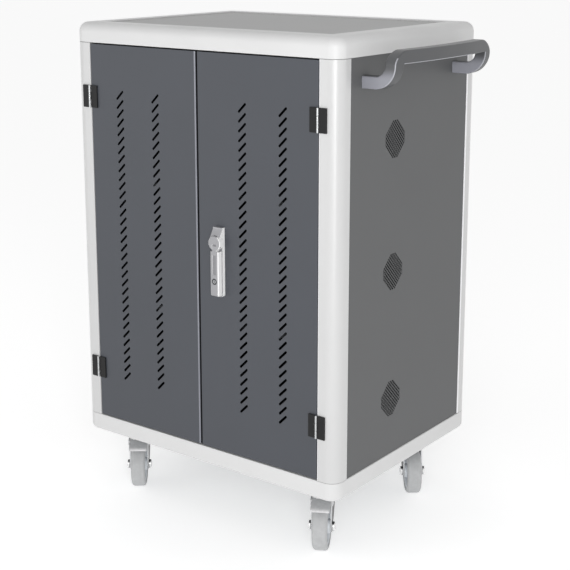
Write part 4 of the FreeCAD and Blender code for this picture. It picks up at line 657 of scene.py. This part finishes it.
def push_handle():
    """A bowed bar on two bent legs: one rounded section led round both bends, then mirrored and bowed."""
    low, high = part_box("push_handle")
    face, middle_y = high.x - HANDLE_BOW * MM, (low.y + high.y) / 2
    thick, wide, bend = HANDLE_THICKNESS * MM, HANDLE_BAR_HEIGHT * MM, HANDLE_BEND * MM
    bm = bmesh.new()
    bmesh.ops.create_grid(bm, x_segments=1, y_segments=1, size=0.5)
    bmesh.ops.scale(bm, vec=(thick, wide, 1), verts=bm.verts)
    bmesh.ops.bevel(bm, geom=bm.verts[:], offset=HANDLE_EDGE * MM, affect="VERTICES",
                    segments=HANDLE_EDGE_STEPS, profile=0.5, material=-1)
    stand = Matrix.Rotation(math.radians(90), 3, "Y")
    bmesh.ops.rotate(bm, cent=(0, 0, 0), matrix=stand, verts=bm.verts)
    bmesh.ops.translate(bm, vec=(low.x, low.y + wide / 2, low.z + thick / 2), verts=bm.verts)
    turn = Vector((face - thick - bend, 0, low.z + thick + bend))
    end = high.z - turn.z
    section = drawn(bm, bm.faces[:], (turn.x - low.x, 0, 0), LEG_STEPS)
    section = spun(bm, section, turn, (0, -1, 0), BEND_STEPS)
    section = spun(bm, section, (0, low.y + end, turn.z), (-1, 0, 0), BEND_STEPS)
    section = drawn(bm, section, (0, middle_y - low.y - end, 0), BAR_STEPS)
    bmesh.ops.delete(bm, geom=section, context="FACES_ONLY")
    # The corners lean in towards the bar, and the bar bows away from the cabinet
    half = middle_y - low.y
    for vert in bm.verts:
        rise = max(0, (vert.co.z - turn.z) / end)
        aside = (middle_y - vert.co.y) / half
        vert.co.y += HANDLE_LEAN * MM * rise ** 2 * aside ** 3
        vert.co.x += HANDLE_BOW * MM * (1 - aside ** 2) * (vert.co.x - low.x) / (face - low.x)
    bmesh.ops.mirror(bm, geom=all_of(bm), axis="Y", merge_dist=HANDLE_DOUBLE * MM,
                     matrix=Matrix.Translation((0, -middle_y, 0)))
    bmesh.ops.remove_doubles(bm, verts=bm.verts, dist=HANDLE_DOUBLE * MM)
    handle = piece("bowed_push_handle", bm, "handle_grey", "cabinet", "push_handle")
    # Painted sheen: the legs' sides are pale up to a quarter of the handle's height, and have its own colour
    # from 0.6 of it
    height = high.z - low.z
    sides = painted_sheen_plastic("moulded_abs_slate_painted_sheen_leg_sides", "#525355", "#94959D",
                           (low.z + 0.25 * height, low.z + 0.6 * height))
    # A painted highlight: a pale line along the bar's lower edge, over three quarters of its length
    highlight_until = low.y + 0.75 * (high.y - low.y)

    def on_leg_edge(middle, way):
        return way.x > 0.3 and 0.35 < abs(way.y) < 0.93 and middle.z < turn.z + end / 2

    def on_bar_edge(middle, way):
        return way.x > 0.35 and way.z < -0.35 and middle.z > turn.z and middle.y < highlight_until

    # Painted sheen on the legs' sides
    paint(handle, sides, lambda middle, way: abs(way.y) > 0.55)
    # Painted highlight along the legs' outer edges and the bar's lower edge
    paint(handle, PAINTED_HIGHLIGHT_SLATE, lambda middle, way: on_leg_edge(middle, way) or on_bar_edge(middle, way))


# Hinges

def hinges():
    """Dark leaves with soft edges on post and door, and bright knuckles in three lengths."""
    clear, third = KNUCKLE_RADIUS + KNUCKLE_GAP, HINGE_HEIGHT / 3
    for word, side in (("left", -1), ("right", 1)):
        swing = JOINTS[word + "_door_swing"]
        axis = Vector(swing["pos_m"])
        leaves = (("frame", "cabinet", side, BODY_LOW.y, (0, 2)),
                  ("door", swing["child"], -side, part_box(word + "_door")[0].y, (1,)))
        for part, body, way, back, lengths in leaves:
            plates, webs, knuckles = bmesh.new(), bmesh.new(), bmesh.new()
            front = back - LEAF_SHEET * MM
            leaf = sorted(axis.x + way * reach * MM for reach in (clear, LEAF_WIDTH))
            web = sorted(axis.x + way * reach * MM for reach in (KNUCKLE_GAP, clear + WEB_LAP))
            for rise in HINGE_RISES:
                low = OPENING_LOW + (rise - HINGE_HEIGHT / 2) * MM
                block(plates, (leaf[0], front, low), (leaf[1], back, low + HINGE_HEIGHT * MM))
                for place in lengths:
                    start_z = low + (place * third + KNUCKLE_GAP / 2) * MM
                    end_z = low + ((place + 1) * third - KNUCKLE_GAP / 2) * MM
                    block(webs, (web[0], front + WEB_INSET * MM, start_z),
                          (web[1], back - WEB_INSET * MM, end_z))
                    rod(knuckles, KNUCKLE_RADIUS * MM, (axis.x, axis.y, start_z), (axis.x, axis.y, end_z),
                        KNUCKLE_SIDES)
            soften(plates, plates.edges[:], LEAF_EDGE)
            join(plates, webs)
            soften(knuckles, creases(knuckles, 60), KNUCKLE_EDGE, 2)
            node = f"{word}_hinge_{part}_leaves"
            piece("fine_" + node, plates, "hinge_dark", body, node)
            piece(f"{word}_hinge_{part}_knuckles", knuckles, "pin_steel", body, node)


# Castors

def ring(name, profile, slot, body, node, joint, steps, width=0):
    """A profile of (along the axle, away from it) in millimetres, spun about a wheel's axle."""
    centre, axle = Vector(joint["pos_m"]), Vector(joint["axis"])
    up = Vector((0, 0, 1))
    bm = bmesh.new()
    verts = [bm.verts.new(centre + axle * along * MM + up * out * MM) for along, out in profile]
    edges = [bm.edges.new((verts[place], verts[place + 1])) for place in range(len(verts) - 1)]
    if profile[0][1] > 0:
        edges.append(bm.edges.new((verts[-1], verts[0])))
    bmesh.ops.spin(bm, geom=verts + edges, cent=centre, axis=axle, angle=2 * math.pi, steps=steps,
                   use_merge=True)
    bmesh.ops.remove_doubles(bm, verts=bm.verts, dist=SLIVER * MM)
    if width:
        soften(bm, creases(bm), width)
    return piece(name, bm, slot, body, node)


def arc(along, out, radius, first, last, steps=6):
    """Points on an arc of a profile, from one angle to another."""
    angles = [math.radians(first + (last - first) * step / steps) for step in range(steps + 1)]
    return [(along + radius * math.cos(angle), out + radius * math.sin(angle)) for angle in angles]


def both_ways(profile):
    """A profile followed by its mirror image across the wheel's middle."""
    return profile + [(-along, out) for along, out in profile[::-1]]


def tyre_profile():
    """A tyre with round shoulders, and grooves round its tread."""
    half, bore, shoulder = TYRE_WIDTH / 2, WHEEL_RADIUS - TYRE_DEPTH, TYRE_ROUND
    tread = []
    for groove in range(TREAD_GROOVES):
        along = (TREAD_GROOVES / 2 - groove - 0.5) * TREAD_PITCH
        tread += [(along + TREAD_PITCH / 4, WHEEL_RADIUS), (along, WHEEL_RADIUS - TREAD_SINK),
                  (along - TREAD_PITCH / 4, WHEEL_RADIUS)]
    right = [(half - TYRE_LIP, bore), (half, bore + TYRE_LIP)]
    right += arc(half - shoulder, WHEEL_RADIUS - shoulder, shoulder, 0, 90)
    left = arc(shoulder - half, WHEEL_RADIUS - shoulder, shoulder, 90, 180)
    left += [(-half, bore + TYRE_LIP), (TYRE_LIP - half, bore)]
    return right + tread + left


def core_profile():
    """A hub, a thin web and a rim."""
    bore = WHEEL_RADIUS - TYRE_DEPTH
    bed = bore - RIM_DEPTH
    return both_ways([(HUB_HALF, AXLE_RADIUS), (HUB_HALF, HUB_RADIUS), (WEB_HALF, HUB_RADIUS + HUB_FLARE),
                      (WEB_HALF, bed - RIM_FLARE), (RIM_HALF, bed), (RIM_HALF, bore)])


def axle_profile():
    """An axle with a domed head at each end."""
    end, face = FORK_HALF + AXLE_HEAD, AXLE_HEAD_RADIUS
    head = [(end - back, face * part) for back, part in AXLE_DOME]
    return both_ways(head + [(FORK_HALF + AXLE_FOOT, face), (FORK_HALF, face), (FORK_HALF, AXLE_RADIUS)])


def castors():
    """Wheels with grooved tyres, dished cores and domed axle heads, in softly edged forks."""
    tyre, core, axle = tyre_profile(), core_profile(), axle_profile()
    for word in CASTORS:
        roll = JOINTS[word + "_roll"]
        centre, across = Vector(roll["pos_m"]), Vector(roll["axis"])

        def outward(middle):
            return abs((middle - centre).dot(across)) / MM

        def on_foot(middle, way):
            return outward(middle) <= FORK_HALF + AXLE_FOOT or abs(way.z) > 0.75

        def on_fork_side(middle, way):
            return abs(way.dot(across)) > 0.9 and outward(middle) > FORK_HALF - 1

        ring(word + "_fine_tyre", tyre, "tyre_grey", roll["child"], word + "_tyre", roll, 96)
        ring(word + "_fine_core", core, "core_grey", roll["child"], word + "_wheel_core", roll, 72, 0.8)
        heads = ring(word + "_fine_axle", axle, "zinc", roll["parent"], word + "_axle", roll, 48, 0.4)
        # Painted highlight on the axle heads' domed caps
        paint(heads, PAINTED_HIGHLIGHT_CAP, lambda middle, way: outward(middle) > FORK_HALF + AXLE_FOOT)
        # Painted shade on the axle heads' feet and on their faces that point up or down
        paint(heads, PAINTED_SHADE_ZINC, on_foot)
        fork = softened(word + "_fork", FORK_EDGE)
        # Painted shade on the forks' outer sides
        paint(fork, PAINTED_SHADE_ZINC, on_fork_side)
    for word in ("front_left", "front_right"):
        pedal = softened(word + "_brake_pedal", FORK_EDGE)
        # Painted light on the pedals' front faces
        paint(pedal, PAINTED_LIT_PEDAL_ZINC, lambda middle, way: way.y < -0.3)


def lock():
    """The lock's parts with soft edges, a greyer groove in the lever and a bright plug in a dark ring."""
    lever_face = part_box("lock_lever")[0].y

    def in_groove(middle, way):
        return way.y < -0.9 and GROOVE_DEPTHS[0] * MM < middle.y - lever_face < GROOVE_DEPTHS[1] * MM

    for node in ("lock_base", "lock_spindle", "lock_lever"):
        part = softened(node, LOCK_EDGE)
        # Painted highlight on the sides of each part
        paint(part, PAINTED_HIGHLIGHT_SIDES, lambda middle, way: abs(way.x) > 0.4)
        if node == "lock_lever":
            paint(part, GROOVE_SILVER, in_groove)
    softened("lock_cylinder", PLUG_EDGE)
    plug = softened("key_plug", PLUG_EDGE)
    paint(plug, PLUG_STEEL, lambda middle, way: way.y < -0.9)


crown_moulding()
base_moulding()
corner_posts()
top_panel()
doors()
side_panels()
push_handle()
hinges()
castors()
lock()

for width, nodes in SOFT_EDGES.items():
    for node in nodes:
        softened(node, width)

# Finishes of the parts that stay as the frame has them

for node, slot in SLOTS.items():
    mesh = frame["nodes"][node].data
    mesh.materials.clear()
    mesh.materials.append(FINISH[slot])


# Studio, in metres, watts and degrees

WHITE = linear("#FFFFFF")
FLOOR_SIZE, FLOOR_FILL, FLOOR_NEAR, FLOOR_FAR = 30, 0.36, 0.42, 0.5
POOL_START, POOL_END = 0.25, 0.58
SKY_FILL, SKY_SEEN = 0.5, 1.0
CAMERA_PLACE, CAMERA_DIP, CAMERA_TURN = (1.6195, -2.1762, 1.2416), 12.33, 36.872
CAMERA_LENS, CAMERA_SENSOR, CAMERA_SHIFT = 80.06, 36, -0.1316


def lamp(name, place, aim, width, height, power):
    """A softbox that faces a point."""
    light = bpy.data.lights.new(name, "AREA")
    light.shape, light.size, light.size_y, light.energy = "RECTANGLE", width, height, power
    thing = bpy.data.objects.new(name, light)
    thing.location = place
    thing.rotation_euler = (Vector(aim) - Vector(place)).to_track_quat("-Z", "Y").to_euler()
    bpy.context.scene.collection.objects.link(thing)


def background_rays(tree):
    """Is 1 for rays that show the background: from the camera, off gloss or through glass."""
    rays = add(tree, "LightPath").outputs
    seen = add(tree, "Math", {0: rays["Is Camera Ray"], 1: rays["Is Glossy Ray"]}, operation="MAXIMUM")
    seen = add(tree, "Math", {0: seen.outputs["Value"], 1: rays["Is Transmission Ray"]}, operation="MAXIMUM")
    return seen.outputs["Value"]


def studio_floor():
    """A matt white floor that gives back less light near the cabinet: a painted shadow pool round its own
    soft shadow.
    """
    bm = bmesh.new()
    bmesh.ops.create_grid(bm, x_segments=1, y_segments=1, size=FLOOR_SIZE)
    mesh = bpy.data.meshes.new("floor")
    bm.to_mesh(mesh)
    bm.free()
    floor = bpy.data.objects.new("floor", mesh)
    bpy.context.scene.collection.objects.link(floor)
    material, tree, shader, place = start("white_studio_floor", 0.9)
    shader.inputs["Base Color"].default_value = linear("#F3F3F3")
    shader.inputs["Specular IOR Level"].default_value = 0.0
    shader.inputs["Emission Color"].default_value = WHITE
    # Painted shadow: the floor's glow drops towards the cabinet's middle
    away = add(tree, "VectorMath", {0: place}, operation="LENGTH").outputs["Value"]
    pool = add(tree, "MapRange", {"Value": away, "From Min": POOL_START, "From Max": POOL_END,
                                  "To Min": FLOOR_NEAR, "To Max": FLOOR_FAR}, interpolation_type="SMOOTHSTEP")
    lift = add(tree, "MapRange", {"Value": background_rays(tree), "To Min": FLOOR_FILL,
                                  "To Max": pool.outputs["Result"]})
    tree.links.new(lift.outputs["Result"], shader.inputs["Emission Strength"])
    mesh.materials.append(material)


def studio_light():
    """A white sky, a soft box at each side of the front, and a tall strip for the corners' highlights."""
    world = bpy.data.worlds.new("studio_white")
    bpy.context.scene.world = world
    world.use_nodes = True
    tree = world.node_tree
    strength = add(tree, "MapRange", {"Value": background_rays(tree), "To Min": SKY_FILL, "To Max": SKY_SEEN})
    sky = tree.nodes["Background"]
    sky.inputs["Color"].default_value = WHITE
    tree.links.new(strength.outputs["Result"], sky.inputs["Strength"])
    lamp("front_box", (-1.9, -2.6, 1.0), (0, 0, 0.6), 1.8, 1.8, 8)
    lamp("right_box", (1.75, -2.5, 1.25), (0, 0, 0.6), 1.4, 1.4, 24)
    lamp("strip", (2.0, -2.2, 0.9), (0.3, -0.25, 0.6), 0.3, 2.0, 12)


def camera():
    """The photograph's view."""
    view = bpy.data.cameras.new("camera")
    view.sensor_width, view.lens, view.shift_y = CAMERA_SENSOR, CAMERA_LENS, CAMERA_SHIFT
    thing = bpy.data.objects.new("camera", view)
    thing.location = CAMERA_PLACE
    thing.rotation_euler = (math.radians(90 - CAMERA_DIP), 0, math.radians(CAMERA_TURN))
    bpy.context.scene.collection.objects.link(thing)
    bpy.context.scene.camera = thing


studio_floor()
studio_light()
camera()
bpy.context.scene.view_settings.view_transform = "Standard"
